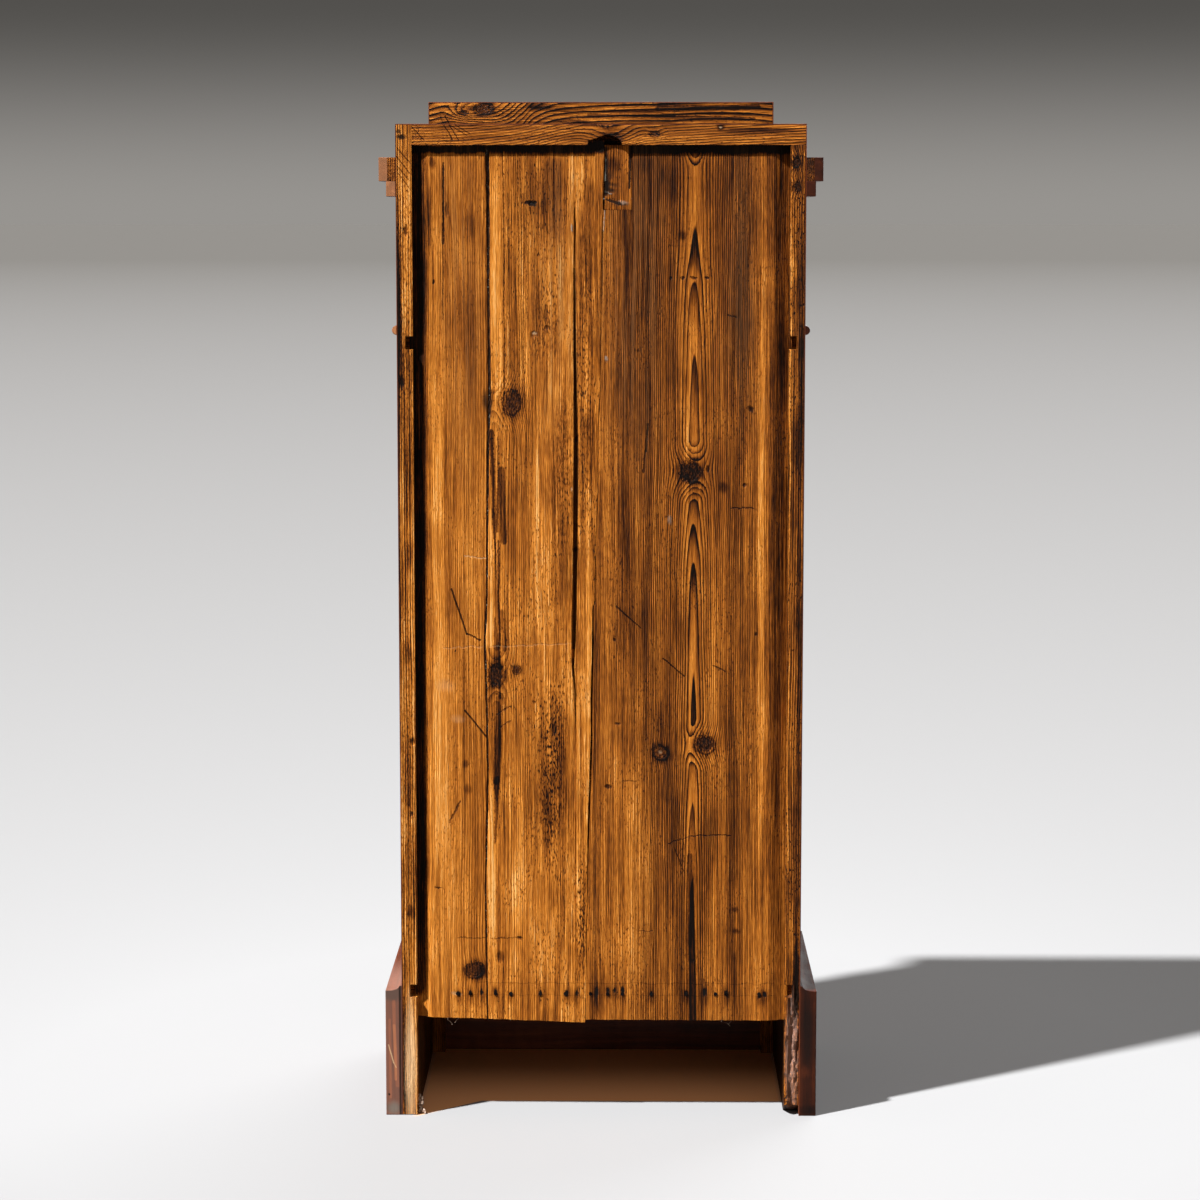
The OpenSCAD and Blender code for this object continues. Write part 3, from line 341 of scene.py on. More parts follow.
# Places are metres on the back's outer face, X and height. A knot's "size" is its half width and "long" its
# length against that; "push" bends the rings round it. A mark is a kind, a place and an amount: a spot has
# X, height, half width, half height and softness, and a stroke has two ends and a width, or one at each end.
# "pitch" is the rings' spacing, "centre" the middle of the pointed figure, "bold" how far from it the rings
# stay dark, "faint" how dark they are beyond, and "level" the tone at the foot and at the head; the left
# board's lower level is partly painted shade, where the light falls off across the back.
boardMiddle = {
    "axes": "xzy", "span": backSpan, "face": backFace, "centre": 0.167, "pitch": 0.0020, "heart": 0.0,
    "rings": [
        (0.15, 21.6), (0.26, 21.2), (0.45, 21.2), (0.54, 21.04), (0.56, 20.9), (0.70, 20.82), (0.78, 20.85),
        (0.83, 21.01), (0.86, 21.12), (0.885, 21.0), (0.95, 20.92), (1.05, 20.8), (1.14, 20.55), (1.3, 20.35),
        (1.40, 20.3), (1.52, 19.3), (1.58, 19.3),
    ],
    "bold": 0.045, "faint": 0.35, "sharp": 2.0, "wander": 0.008, "ripple": 0.002, "contrast": 0.55,
    "seed": 0.0, "pepper": 0.9, "level": (0.70, 0.65), "busy": 1.2,
    "knots": [
        {"across": 0.142, "along": 1.167, "size": 0.0128, "long": 1.25, "push": 3.6, "warm": 0.04,
         "halo": 0.24},
        {"across": 0.184, "along": 1.172, "size": 0.0085, "long": 1.5, "push": 0.8, "warm": -0.1},
        {"across": 0.169, "along": 0.727, "size": 0.0115, "long": 1.3, "push": 2.2},
        {"across": 0.136, "along": 0.736, "size": 0.006, "long": 1.0, "push": 0.6, "dark": 0.7},
    ],
    "marks": [
        ("band", 0.166, 1.36, 0.010, 0.20, 0.4, 0.20), ("grey", 0.070, 1.36, 0.030, 0.17, 0.8, 0.42),
        ("cut", (0.1315, 1.55), (0.1295, 1.18), 0.0006, -0.28),
        ("cut", (0.1275, 1.56), (0.1255, 1.22), 0.0005, -0.26),
        ("cut", (0.1230, 1.50), (0.1215, 1.16), 0.0006, -0.24),
        ("cut", (0.1185, 1.56), (0.1170, 1.30), 0.0005, -0.22),
        ("cut", (0.1480, 1.50), (0.1465, 1.20), 0.0005, -0.20),
        ("band", 0.172, 0.80, 0.006, 0.05, 0.5, 0.22), ("band", 0.177, 0.42, 0.008, 0.13, 0.4, 0.3),
        ("band", 0.0734, 1.475, 0.0230, 0.052, 0.7, -0.30), ("band", 0.094, 1.50, 0.030, 0.05, 0.8, -0.14),
        ("band", 0.067, 0.97, 0.014, 0.16, 0.6, -0.20), ("band", 0.080, 0.57, 0.018, 0.10, 0.6, -0.22),
        ("band", 0.02, 0.75, 0.007, 0.22, 0.5, 0.22), ("band", 0.024, 1.25, 0.016, 0.26, 0.5, -0.12),
        ("band", 0.12, 1.30, 0.010, 0.10, 0.8, 0.10), ("band", 0.125, 0.36, 0.03, 0.10, 0.8, 0.10),
        ("band", (0.1745, 1.120), (0.1690, 0.885), (0.0036, 0.0006), -0.45),
        ("band", (0.1640, 1.120), (0.1665, 0.960), (0.0005, 0.0020), -0.40),
        ("band", (0.1600, 1.060), (0.1560, 0.945), (0.0056, 0.0045), -0.38),
        ("band", (0.1705, 0.822), (0.1680, 0.740), (0.0006, 0.0075), -0.36),
        ("band", (0.1645, 0.945), (0.1630, 0.690), (0.0012, 0.0016), -0.40),
        ("band", (0.1595, 0.830), (0.1560, 0.770), (0.0035, 0.0035), -0.30),
        ("band", (0.1640, 0.690), (0.1690, 0.555), (0.0052, 0.0060), -0.40),
        ("band", (0.1690, 0.555), (0.1720, 0.450), (0.0060, 0.0008), -0.40),
        ("band", (0.180, 0.99), (0.178, 0.78), (0.0060, 0.0070), 0.18),
        ("soot", 0.1775, 1.165, 0.0030, 0.022, 0.8, 0.8), ("soot", 0.1780, 1.230, 0.0014, 0.040, 0.8, 0.6),
        ("band", 0.101, 1.03, 0.0024, 0.075, 0.6, 0.22), ("band", 0.076, 1.543, 0.012, 0.014, 0.7, -0.24),
        ("cut", (0.1190, 1.4845), (0.1040, 1.4845), 0.0026, -0.6),
        ("cut", (0.1120, 1.4815), (0.1055, 1.4810), 0.0026, -0.5),
        ("cut", 0.085, 1.287, 0.005, 0.003, 0.5, -0.3), ("cut", 0.088, 1.310, 0.003, 0.012, 0.6, -0.25),
        ("cut", 0.076, 0.640, 0.004, 0.008, 0.5, -0.35), ("cut", 0.164, 0.262, 0.006, 0.008, 0.6, -0.3),
        ("cut", 0.132, 0.294, 0.003, 0.003, 0.6, -0.3), ("cut", 0.107, 1.276, 0.005, 0.005, 0.4, -0.15),
        ("pale", 0.106, 1.278, 0.0035, 0.0025, 0.6, 0.5),
        ("pale", (0.181, 0.774), (0.048, 0.779), 0.0010, 0.12),
        # painted shade along the crack and its lips
        ("soot", (0.0400, 1.11), (0.0410, 0.93), (0.0042, 0.0042), 0.75),
        ("soot", (0.0410, 0.93), (0.0440, 0.77), (0.0042, 0.0030), 0.75),
        ("soot", (0.0425, 1.38), (0.0400, 1.11), (0.0016, 0.0040), 0.70),
        ("soot", (0.0450, 0.75), (0.0408, 0.66), (0.0024, 0.0010), 0.60),
        ("flecks", 0.076, 0.637, 0.016, 0.060, 0.8, -0.42),
        ("flecks", 0.081, 0.520, 0.016, 0.075, 0.8, -0.42),
        ("flecks", 0.032, 0.330, 0.006, 0.10, 0.7, -0.42),
        ("flecks", 0.086, 1.295, 0.020, 0.06, 0.9, -0.22), ("flecks", 0.061, 1.06, 0.012, 0.11, 0.9, -0.24),
        ("flecks", 0.024, 1.20, 0.010, 0.26, 0.9, -0.18),
        ("filler", 0.0465, 1.445, 0.0014, 0.005, 0.5, 0.7),
        ("pale", 0.0465, 1.028, 0.0013, 0.003, 0.5, 0.5),
        ("band", (0.18, 0.294), (0.128, 0.295), 0.0009, -0.25),
        ("cut", (0.168, 0.664), (0.145, 0.676), 0.0012, -0.22),
        ("cut", (0.166, 0.640), (0.146, 0.653), 0.0010, -0.22),
        ("cut", (0.1545, 1.57), (0.1530, 1.19), 0.0008, -0.35),
    ],
}
boardRight = {
    "axes": "xzy", "span": backSpan, "face": backFace, "centre": 0.160, "pitch": 0.0034, "heart": 0.0,
    "rings": [(0.15, 9.2), (0.5, 8.6), (0.9, 8.9), (1.2, 8.3), (1.58, 8.5)],
    "bold": 0.05, "faint": 0.5, "sharp": 2.4, "wander": 0.016, "ripple": 0.0022, "contrast": 0.34,
    "seed": 3.7, "pepper": 0.5, "level": (0.67, 0.64),
    "knots": [
        {"across": 0.2055, "along": 0.240, "size": 0.0135, "long": 0.8, "push": 1.0, "dark": 0.6,
         "halo": 0.22},
    ],
    "marks": [
        ("grey", 0.222, 1.34, 0.026, 0.22, 0.8, 0.40), ("band", 0.262, 0.9, 0.010, 0.6, 0.5, 0.12),
        ("band", 0.272, 1.46, 0.004, 0.05, 0.5, -0.26), ("band", 0.267, 1.548, 0.004, 0.009, 0.5, -0.35),
        ("cut", 0.266, 1.359, 0.002, 0.004, 0.4, -0.5), ("band", 0.207, 1.448, 0.007, 0.02, 0.7, -0.20),
        ("cut", 0.244, 1.473, 0.0025, 0.010, 0.5, -0.30), ("band", 0.225, 1.30, 0.014, 0.06, 0.8, -0.14),
        ("band", 0.205, 1.26, 0.008, 0.08, 0.8, -0.16), ("band", 0.219, 0.582, 0.005, 0.006, 0.6, -0.28),
        ("band", 0.216, 0.541, 0.006, 0.007, 0.6, -0.22), ("soot", 0.1840, 1.170, 0.0045, 0.014, 0.8, 0.85),
        ("soot", 0.1835, 0.735, 0.0022, 0.030, 0.8, 0.7), ("cut", 0.235, 0.767, 0.0015, 0.0020, 0.4, -0.5),
        ("pale", 0.252, 0.710, 0.012, 0.008, 0.8, 0.16), ("pale", 0.232, 0.656, 0.009, 0.005, 0.8, 0.18),
        ("cut", 0.265, 0.378, 0.005, 0.0012, 0.4, -0.35), ("band", 0.196, 0.236, 0.006, 0.011, 0.6, -0.35),
        ("pale", 0.236, 0.201, 0.007, 0.003, 0.5, 0.4),
        ("cut", (0.249, 1.546), (0.2505, 1.42), 0.0014, -0.5),
        ("cut", (0.2505, 1.42), (0.2515, 1.30), 0.0009, -0.25),
        ("cut", (0.241, 0.868), (0.216, 0.794), 0.0013, -0.45),
        ("cut", (0.216, 0.794), (0.195, 0.785), 0.0014, -0.4),
        ("cut", (0.220, 0.670), (0.184, 0.625), 0.0013, -0.45),
        ("cut", (0.228, 0.520), (0.245, 0.485), 0.0015, -0.3),
        ("pale", (0.255, 0.772), (0.181, 0.774), 0.0010, 0.14),
        ("pale", (0.218, 0.920), (0.181, 0.917), 0.0010, 0.4),
        ("band", (0.234, 0.294), (0.18, 0.294), 0.0009, -0.25),
    ],
}
boardLeft = {
    "axes": "xzy", "span": backSpan, "face": backFace, "centre": -0.149, "pitch": 0.0027, "heart": -2.0,
    "rings": [
        (0.15, 6.7), (0.215, 6.8), (0.365, 7.0), (0.454, 7.7), (0.503, 8.0), (0.60, 8.7), (0.685, 9.0),
        (0.845, 9.7), (0.90, 10.0), (0.966, 11.0), (1.028, 12.0), (1.127, 12.7), (1.214, 13.0), (1.351, 14.0),
        (1.40, 14.8), (1.424, 14.86), (1.52, 14.6), (1.58, 14.5),
    ],
    "bold": 0.052, "faint": 0.5, "sharp": 2.4, "wander": 0.010, "ripple": 0.002, "contrast": 0.90,
    # its lower level is partly painted shade, as the light falls off across the back towards this board
    "seed": 8.1, "pepper": 0.6, "level": (0.60, 0.445),
    "knots": [
        {"across": -0.143, "along": 1.057, "size": 0.0135, "long": 1.1, "push": 3.6},
        {"across": -0.169, "along": 0.613, "size": 0.0125, "long": 1.0, "push": 3.0},
        {"across": -0.096, "along": 0.601, "size": 0.0100, "long": 1.0, "push": 0.8, "halo": 0.25,
         "warm": 0.12},
        {"across": -0.149, "along": 1.580, "size": 0.0100, "long": 1.4, "push": -2.6, "spread": 3.2,
         "dark": 0.0, "halo": 0.0, "rim": 0.0},
    ],
    "marks": [
        ("band", -0.149, 1.30, 0.024, 0.26, 0.6, 0.20), ("band", -0.149, 0.75, 0.028, 0.30, 0.6, 0.10),
        ("band", -0.055, 1.20, 0.03, 0.34, 0.6, -0.06), ("band", -0.258, 1.0, 0.006, 0.55, 0.5, 0.24),
        ("band", -0.284, 0.9, 0.012, 0.75, 0.5, -0.10), ("band", -0.225, 1.25, 0.012, 0.22, 0.6, -0.12),
        ("band", -0.008, 1.36, 0.005, 0.22, 0.6, 0.10),
        ("band", (-0.1450, 0.43), (-0.1500, 0.16), (0.0045, 0.0070), -0.32),
        ("band", -0.105, 0.50, 0.014, 0.16, 0.6, -0.12), ("band", -0.06, 0.40, 0.02, 0.14, 0.6, 0.12),
        ("band", -0.215, 0.42, 0.010, 0.22, 0.6, -0.12), ("band", -0.05, 0.82, 0.03, 0.10, 0.7, -0.10),
        ("band", -0.098, 1.530, 0.004, 0.012, 0.8, -0.20),
        ("band", -0.112, 1.505, 0.008, 0.018, 0.9, -0.14), ("band", -0.129, 1.433, 0.006, 0.007, 0.7, -0.3),
        ("cut", -0.111, 1.366, 0.002, 0.0024, 0.4, -0.4), ("cut", -0.130, 1.366, 0.0032, 0.0024, 0.4, -0.4),
        ("cut", -0.148, 1.365, 0.005, 0.002, 0.5, -0.35), ("cut", -0.169, 1.366, 0.003, 0.002, 0.4, -0.4),
        ("cut", -0.239, 1.158, 0.004, 0.004, 0.5, -0.35), ("cut", -0.171, 1.062, 0.003, 0.005, 0.5, -0.3),
        ("band", -0.196, 1.032, 0.006, 0.008, 0.6, -0.3), ("cut", -0.231, 1.034, 0.003, 0.003, 0.5, -0.35),
        ("cut", -0.022, 0.785, 0.002, 0.003, 0.4, -0.4), ("cut", -0.249, 0.796, 0.002, 0.003, 0.4, -0.4),
        ("filler", -0.110, 0.980, 0.003, 0.006, 0.7, 0.3), ("cut", -0.012, 0.545, 0.005, 0.003, 0.5, -0.4),
        ("cut", -0.028, 0.647, 0.004, 0.002, 0.5, -0.35), ("band", -0.218, 0.342, 0.005, 0.004, 0.6, -0.3),
        ("band", -0.220, 0.306, 0.005, 0.004, 0.6, -0.3),
        ("pale", -0.096, 0.602, 0.0022, 0.0022, 0.8, 0.35),
        ("band", -0.096, 0.65, 0.004, 0.035, 0.7, -0.28), ("grey", -0.050, 1.34, 0.045, 0.22, 0.9, 0.42),
        ("grey", -0.225, 1.34, 0.030, 0.18, 0.8, 0.30), ("filler", -0.009, 1.237, 0.002, 0.004, 0.6, 0.5),
        ("filler", (-0.0056, 1.478), (-0.0040, 1.440), (0.0012, 0.0006), 0.5),
        ("soot", (-0.0030, 1.440), (-0.0010, 1.330), (0.0010, 0.0016), 0.6),
        ("band", -0.066, 1.545, 0.018, 0.012, 0.9, -0.12),
        ("cut", (-0.201, 1.308), (-0.216, 1.303), 0.0013, -0.35),
        ("cut", (-0.0745, 1.133), (-0.072, 1.09), 0.0018, -0.4),
        ("cut", (-0.071, 1.09), (-0.068, 1.056), 0.0013, -0.35),
        ("cut", (-0.208, 0.999), (-0.245, 0.999), 0.0010, -0.3),
        ("cut", (-0.025, 0.839), (-0.065, 0.804), (0.0014, 0.0007), -0.32),
        ("cut", (-0.101, 0.754), (-0.135, 0.726), 0.0011, -0.35),
        ("cut", (-0.180, 0.745), (-0.200, 0.734), 0.0011, -0.3),
        ("cut", (-0.108, 0.452), (-0.154, 0.464), 0.0008, -0.35),
        ("cut", (-0.154, 0.464), (-0.211, 0.465), 0.0008, -0.35),
        ("cut", (-0.120, 0.443), (-0.136, 0.403), 0.0007, -0.3),
        ("cut", (-0.034, 0.554), (-0.058, 0.554), 0.0008, -0.2),
        ("cut", (-0.063, 0.306), (-0.085, 0.306), 0.0008, -0.2),
    ],
}
scribes = [
    ("band", (0.20, 0.2195), (-0.283, 0.2185), 0.0007, -0.12),
    ("band", (0.24, 0.1995), (-0.283, 0.1985), 0.0007, -0.08),
]
for board in (boardRight, boardMiddle, boardLeft):
    board["marks"] = board["marks"] + scribes
# Painted shade on the boards beside the right side and beneath the top board, deepening the recess's shadow
boardRight["marks"].append(("band", (0.2990, 1.60), (0.2990, 0.21), (0.021, 0.013), -0.60))
boardLeft["marks"].append(("band", (-0.30, 1.572), (0.18, 1.572), (0.010, 0.010), -0.75))
boardRight["marks"].append(("band", (0.18, 1.570), (0.30, 1.568), (0.007, 0.005), -0.7))
boardMiddle["marks"].append(("band", (0.0, 1.572), (0.18, 1.572), (0.010, 0.010), -0.75))
# Nail holes along the foot: X, height, half width and half height
holes = [
    (0.2325, 0.2010, 0.0030, 0.0045), (0.2135, 0.2020, 0.0028, 0.0050), (0.1945, 0.2030, 0.0026, 0.0055),
    (0.1720, 0.2035, 0.0030, 0.0050), (0.1475, 0.2010, 0.0026, 0.0040), (0.0990, 0.2025, 0.0028, 0.0055),
    (0.0565, 0.2025, 0.0036, 0.0055), (0.0400, 0.2025, 0.0030, 0.0045), (0.0065, 0.2040, 0.0030, 0.0085),
    (-0.0110, 0.2080, 0.0026, 0.0045), (-0.0225, 0.2070, 0.0030, 0.0045), (-0.0350, 0.2080, 0.0032, 0.0060),
    (-0.0820, 0.2025, 0.0028, 0.0050), (-0.1395, 0.2025, 0.0034, 0.0045), (-0.1700, 0.2040, 0.0038, 0.0075),
    (-0.2050, 0.2015, 0.0030, 0.0055), (-0.2580, 0.2000, 0.0032, 0.0050), (-0.2675, 0.2010, 0.0028, 0.0050),
]
for across, along, wide, tall in holes:
    board = boardRight if across > rightJoint else boardMiddle if across > leftJoint else boardLeft
    board["marks"].append(("band", across, along - 0.004, wide * 1.9, tall * 2.6, 0.8, -0.24))
    board["marks"].append(("soot", across, along, wide, tall, 0.35, 1.0))


def plank(axes, face, seed, **extra):
    # any other pine board; axes are across its face, along its grain and through it
    spec = {"axes": axes, "face": face, "seed": seed, "centre": 0.05, "pitch": 0.0032, "heart": 6.0,
            "bold": 0.06, "faint": 0.55, "sharp": 2.0, "wander": 0.02, "ripple": 0.003, "contrast": 0.55,
            "pepper": 0.7, "level": (0.55, 0.55)}
    return dict(spec, **extra)


patchMarks = [
    ("soot", -0.011, 1.512, 0.004, 0.014, 0.7, 0.95), ("soot", -0.017, 1.503, 0.006, 0.004, 0.7, 0.9),
    ("soot", (-0.0470, 1.575), (-0.0450, 1.508), (0.0030, 0.0012), 0.97),
    ("band", -0.018, 1.545, 0.010, 0.010, 0.8, -0.25),
    ("filler", (-0.0065, 1.50), (-0.018, 1.497), (0.0016, 0.0008), 0.5),
    ("filler", -0.034, 1.4835, 0.0075, 0.0028, 0.8, 0.42),
    ("soot", (-0.0070, 1.572), (-0.0085, 1.497), (0.0026, 0.0040), 0.85),
    ("soot", -0.013, 1.528, 0.006, 0.006, 0.9, 0.7),
    ("filler", (-0.0068, 1.556), (-0.0074, 1.518), (0.0009, 0.0014), 0.65),
    ("soot", -0.020, 1.512, 0.007, 0.003, 0.9, 0.7),
    ("soot", (-0.010, 1.488), (-0.030, 1.482), (0.0016, 0.0030), 0.9),
    ("soot", -0.008, 1.545, 0.004, 0.012, 0.8, 0.8),
]
# The rear edge of each side, of the top and of the attic board: across is X or Z on that edge
edgeRight = plank(
    "xzy", 0.2, 5.0, centre=0.311, heart=4.0, pitch=0.0040, level=(0.83, 0.77), contrast=0.9, wander=0.006,
    slanted=True, sway=3.0, busy=1.45, foul=0.5, marks=[
        ("flecks", 0.311, 1.28, 0.012, 0.24, 0.8, -0.24), ("flecks", 0.311, 0.55, 0.012, 0.30, 0.8, -0.20),
        ("band", 0.3235, 0.75, 0.0016, 0.60, 0.5, -0.35), ("cut", 0.304, 0.62, 0.003, 0.006, 0.5, -0.5),
        ("cut", 0.306, 0.50, 0.003, 0.004, 0.5, -0.5), ("cut", 0.318, 1.20, 0.003, 0.010, 0.5, -0.45),
        ("cut", 0.309, 1.44, 0.003, 0.008, 0.5, -0.45), ("band", 0.321, 1.35, 0.006, 0.12, 0.6, -0.30),
        ("band", 0.312, 1.22, 0.008, 0.06, 0.8, -0.26), ("band", 0.306, 1.06, 0.005, 0.07, 0.8, -0.22),
        ("band", 0.318, 0.86, 0.005, 0.06, 0.8, -0.22),
        ("cut", (0.322, 1.570), (0.300, 1.545), 0.0008, -0.3),
        ("cut", (0.322, 1.556), (0.302, 1.530), 0.0008, -0.3),
        ("cut", (0.322, 1.542), (0.304, 1.520), 0.0007, -0.25),
        ("cut", (0.320, 1.530), (0.302, 1.506), 0.0006, -0.25),
        ("soot", 0.316, 1.588, 0.007, 0.004, 0.5, 0.95), ("soot", 0.320, 1.596, 0.004, 0.003, 0.5, 0.8),
        ("band", 0.3225, 1.32, 0.0040, 0.17, 0.6, -0.50), ("band", 0.320, 1.10, 0.003, 0.06, 0.6, -0.35),
        ("band", 0.308, 0.925, 0.006, 0.022, 0.7, -0.35), ("band", 0.311, 0.765, 0.007, 0.014, 0.7, -0.25),
        ("band", 0.311, 0.56, 0.006, 0.05, 0.7, -0.30), ("band", 0.304, 0.40, 0.004, 0.10, 0.7, -0.30),
        ("band", 0.310, 0.34, 0.005, 0.012, 0.6, -0.35), ("pale", 0.3115, 0.085, 0.0080, 0.10, 0.6, 0.70),
        ("band", 0.313, 0.10, 0.009, 0.11, 0.5, 0.20), ("band", 0.322, 0.10, 0.0025, 0.10, 0.5, -0.55),
        ("band", 0.319, 0.03, 0.004, 0.03, 0.6, -0.4), ("band", 0.3015, 0.70, 0.0012, 0.80, 0.3, 0.25),
    ])
edgeLeft = plank(
    "xzy", 0.2, 9.0, centre=-0.30, heart=4.0, pitch=0.0040, level=(0.41, 0.42), contrast=0.6, wander=0.006,
    slanted=True, sway=3.0, pepper=1.6, busy=1.4, foul=0.3,
    knots=[{"across": -0.308, "along": 1.548, "size": 0.006, "long": 1.2, "push": 2.0},
           {"across": -0.310, "along": 1.510, "size": 0.005, "long": 1.2, "push": 1.5}],
    marks=[
        # the bands at X -0.3015 are a painted highlight along the inner arris, which the key light catches
        ("band", -0.319, 0.9, 0.003, 0.75, 0.5, -0.25), ("band", -0.3015, 1.25, 0.0014, 0.34, 0.3, 0.4),
        ("band", -0.3015, 0.60, 0.0014, 0.30, 0.3, 0.25), ("band", -0.309, 0.30, 0.005, 0.05, 0.6, 0.20),
        ("band", -0.306, 1.38, 0.004, 0.02, 0.6, 0.18), ("band", -0.312, 1.10, 0.004, 0.05, 0.6, -0.20),
        ("band", -0.318, 0.22, 0.005, 0.06, 0.5, -0.45), ("haze", -0.312, 0.10, 0.009, 0.085, 0.5, 0.45),
        ("soot", -0.304, 0.205, 0.003, 0.008, 0.5, 0.9),
    ])
topEdge = plank(
    "zxy", 0.2, 2.0, centre=1.575, heart=0.0, pitch=0.0042, slanted=True, wander=0.010, level=(0.565, 0.485),
    contrast=1.1, sharp=3.6, busy=0.9, span=(-0.34, 0.34),
    rings=[(-0.34, 1.0), (-0.20, 3.0), (-0.08, 4.5), (0.0, 5.0), (0.05, 7.0), (0.16, 12.0), (0.24, 13.6),
           (0.34, 14.2)],
    knots=[{"across": 1.584, "along": -0.016, "size": 0.0075, "long": 1.9, "push": 3.6, "spread": 4.6,
            "dark": 0.5, "rim": 0.1},
           {"across": 1.592, "along": -0.085, "size": 0.004, "long": 1.6, "push": 1.0}],
    marks=[
        ("cut", (1.621, 0.254), (1.583, 0.235), 0.0007, -0.35),
        ("cut", (1.621, 0.246), (1.583, 0.226), 0.0007, -0.35),
        ("cut", (1.605, 0.300), (1.583, 0.280), 0.0007, -0.3),
        ("cut", (1.583, 0.300), (1.603, 0.284), 0.0006, -0.25),
        ("cut", (1.606, 0.238), (1.590, 0.212), 0.0006, -0.25),
        ("cut", (1.606, 0.230), (1.592, 0.206), 0.0006, -0.25),
        # the second mark is painted shade in the notch of the rear edge
        ("soot", 1.592, 0.314, 0.004, 0.010, 0.6, 0.95), ("soot", 1.579, -0.004, 0.0045, 0.024, 0.5, 0.95),
        ("band", 1.603, -0.188, 0.004, 0.006, 0.6, -0.4),
        ("pale", 1.603, -0.188, 0.0012, 0.0020, 0.6, 0.45), ("band", 1.597, -0.25, 0.004, 0.05, 0.7, -0.3),
    ])
atticEdge = plank(
    "zxy", 0.2, 3.0, centre=1.608, heart=0.0, pitch=0.0088, slanted=True, wander=0.014, level=(0.59, 0.49),
    contrast=1.6, sharp=3.2, busy=1.3, span=(-0.28, 0.28),
    rings=[(-0.28, 3.2), (-0.20, 2.6), (-0.10, 3.0), (0.0, 3.4), (0.06, 4.0), (0.10, 5.5), (0.13, 8.5),
           (0.15, 9.5), (0.20, 9.0), (0.28, 10.5)],
    knots=[{"across": 1.631, "along": 0.184, "size": 0.0085, "long": 1.5, "push": 3.2, "spread": 4.6,
            "warm": 0.08},
           {"across": 1.625, "along": 0.216, "size": 0.0032, "long": 2.0, "push": 2.2, "spread": 6.0,
            "dark": 0.6}],
    marks=[
        ("band", 1.636, 0.10, 0.005, 0.020, 0.5, -0.4),
        ("band", (1.632, -0.09), (1.634, -0.25), (0.004, 0.003), -0.35),
        ("band", (1.622, 0.02), (1.616, -0.24), (0.002, 0.003), -0.35),
        ("band", 1.612, 0.05, 0.0025, 0.03, 0.5, -0.3),
        ("cut", (1.621, 0.254), (1.608, 0.248), 0.0007, -0.3),
        ("cut", (1.621, 0.246), (1.608, 0.239), 0.0007, -0.3),
    ])
pines = {
    "back_board_right": pineFinish("backRightPine", boardRight),
    "back_board_middle": pineFinish("backMiddlePine", boardMiddle),
    "back_board_left": pineFinish("backLeftPine", boardLeft),
    "back_patch": pineFinish("patchPine", plank("xzy", 0.2, 12.0, level=(0.5, 0.52), marks=patchMarks)),
    "side_right": pineFinish("rightSidePine", edgeRight),
    "side_left": pineFinish("leftSidePine", edgeLeft),
    "top_board": pineFinish("topPine", topEdge),
    "attic_board": pineFinish("atticPine", atticEdge),
    "crosswise": pineFinish("crossPine", plank("yxz", 0.0, 6.0, centre=0.02)),
    "forward": pineFinish("forwardPine", plank("xyz", 0.0, 7.0, centre=0.3)),
    "cornice_core_left": pineFinish(
        "corniceLeftPine", plank("zyx", 0.0, 14.0, centre=1.53, level=(0.24, 0.24))),
    "cornice_core_right": pineFinish(
        "corniceRightPine", plank("zyx", 0.0, 15.0, centre=1.53, level=(0.50, 0.50))),
    "upright": pineFinish("uprightPine", plank("xzy", 0.0, 8.0, centre=0.3)),
}
print("pine finishes made")


mahogany = {
    "scale": [(0.0, tone(27, 12, 8)), (0.3, tone(64, 28, 14)), (0.55, tone(106, 50, 25)),
              (0.8, tone(146, 77, 39)), (1.0, tone(184, 110, 60))],
    "gloss": 0.30,
    "bare": 0.55,
    "shine": 0.26,
    "waver": (7, 3, 7),          # how fine each layer of the figure is, in cycles per metre
    "ribbon": (22, 0.9, 22),
    "stripe": (120, 2.6, 120),
    "pores": (1500, 55, 1500),
    "curl": (9, 75, 9),
    "worn": (13, 11, 13),
}


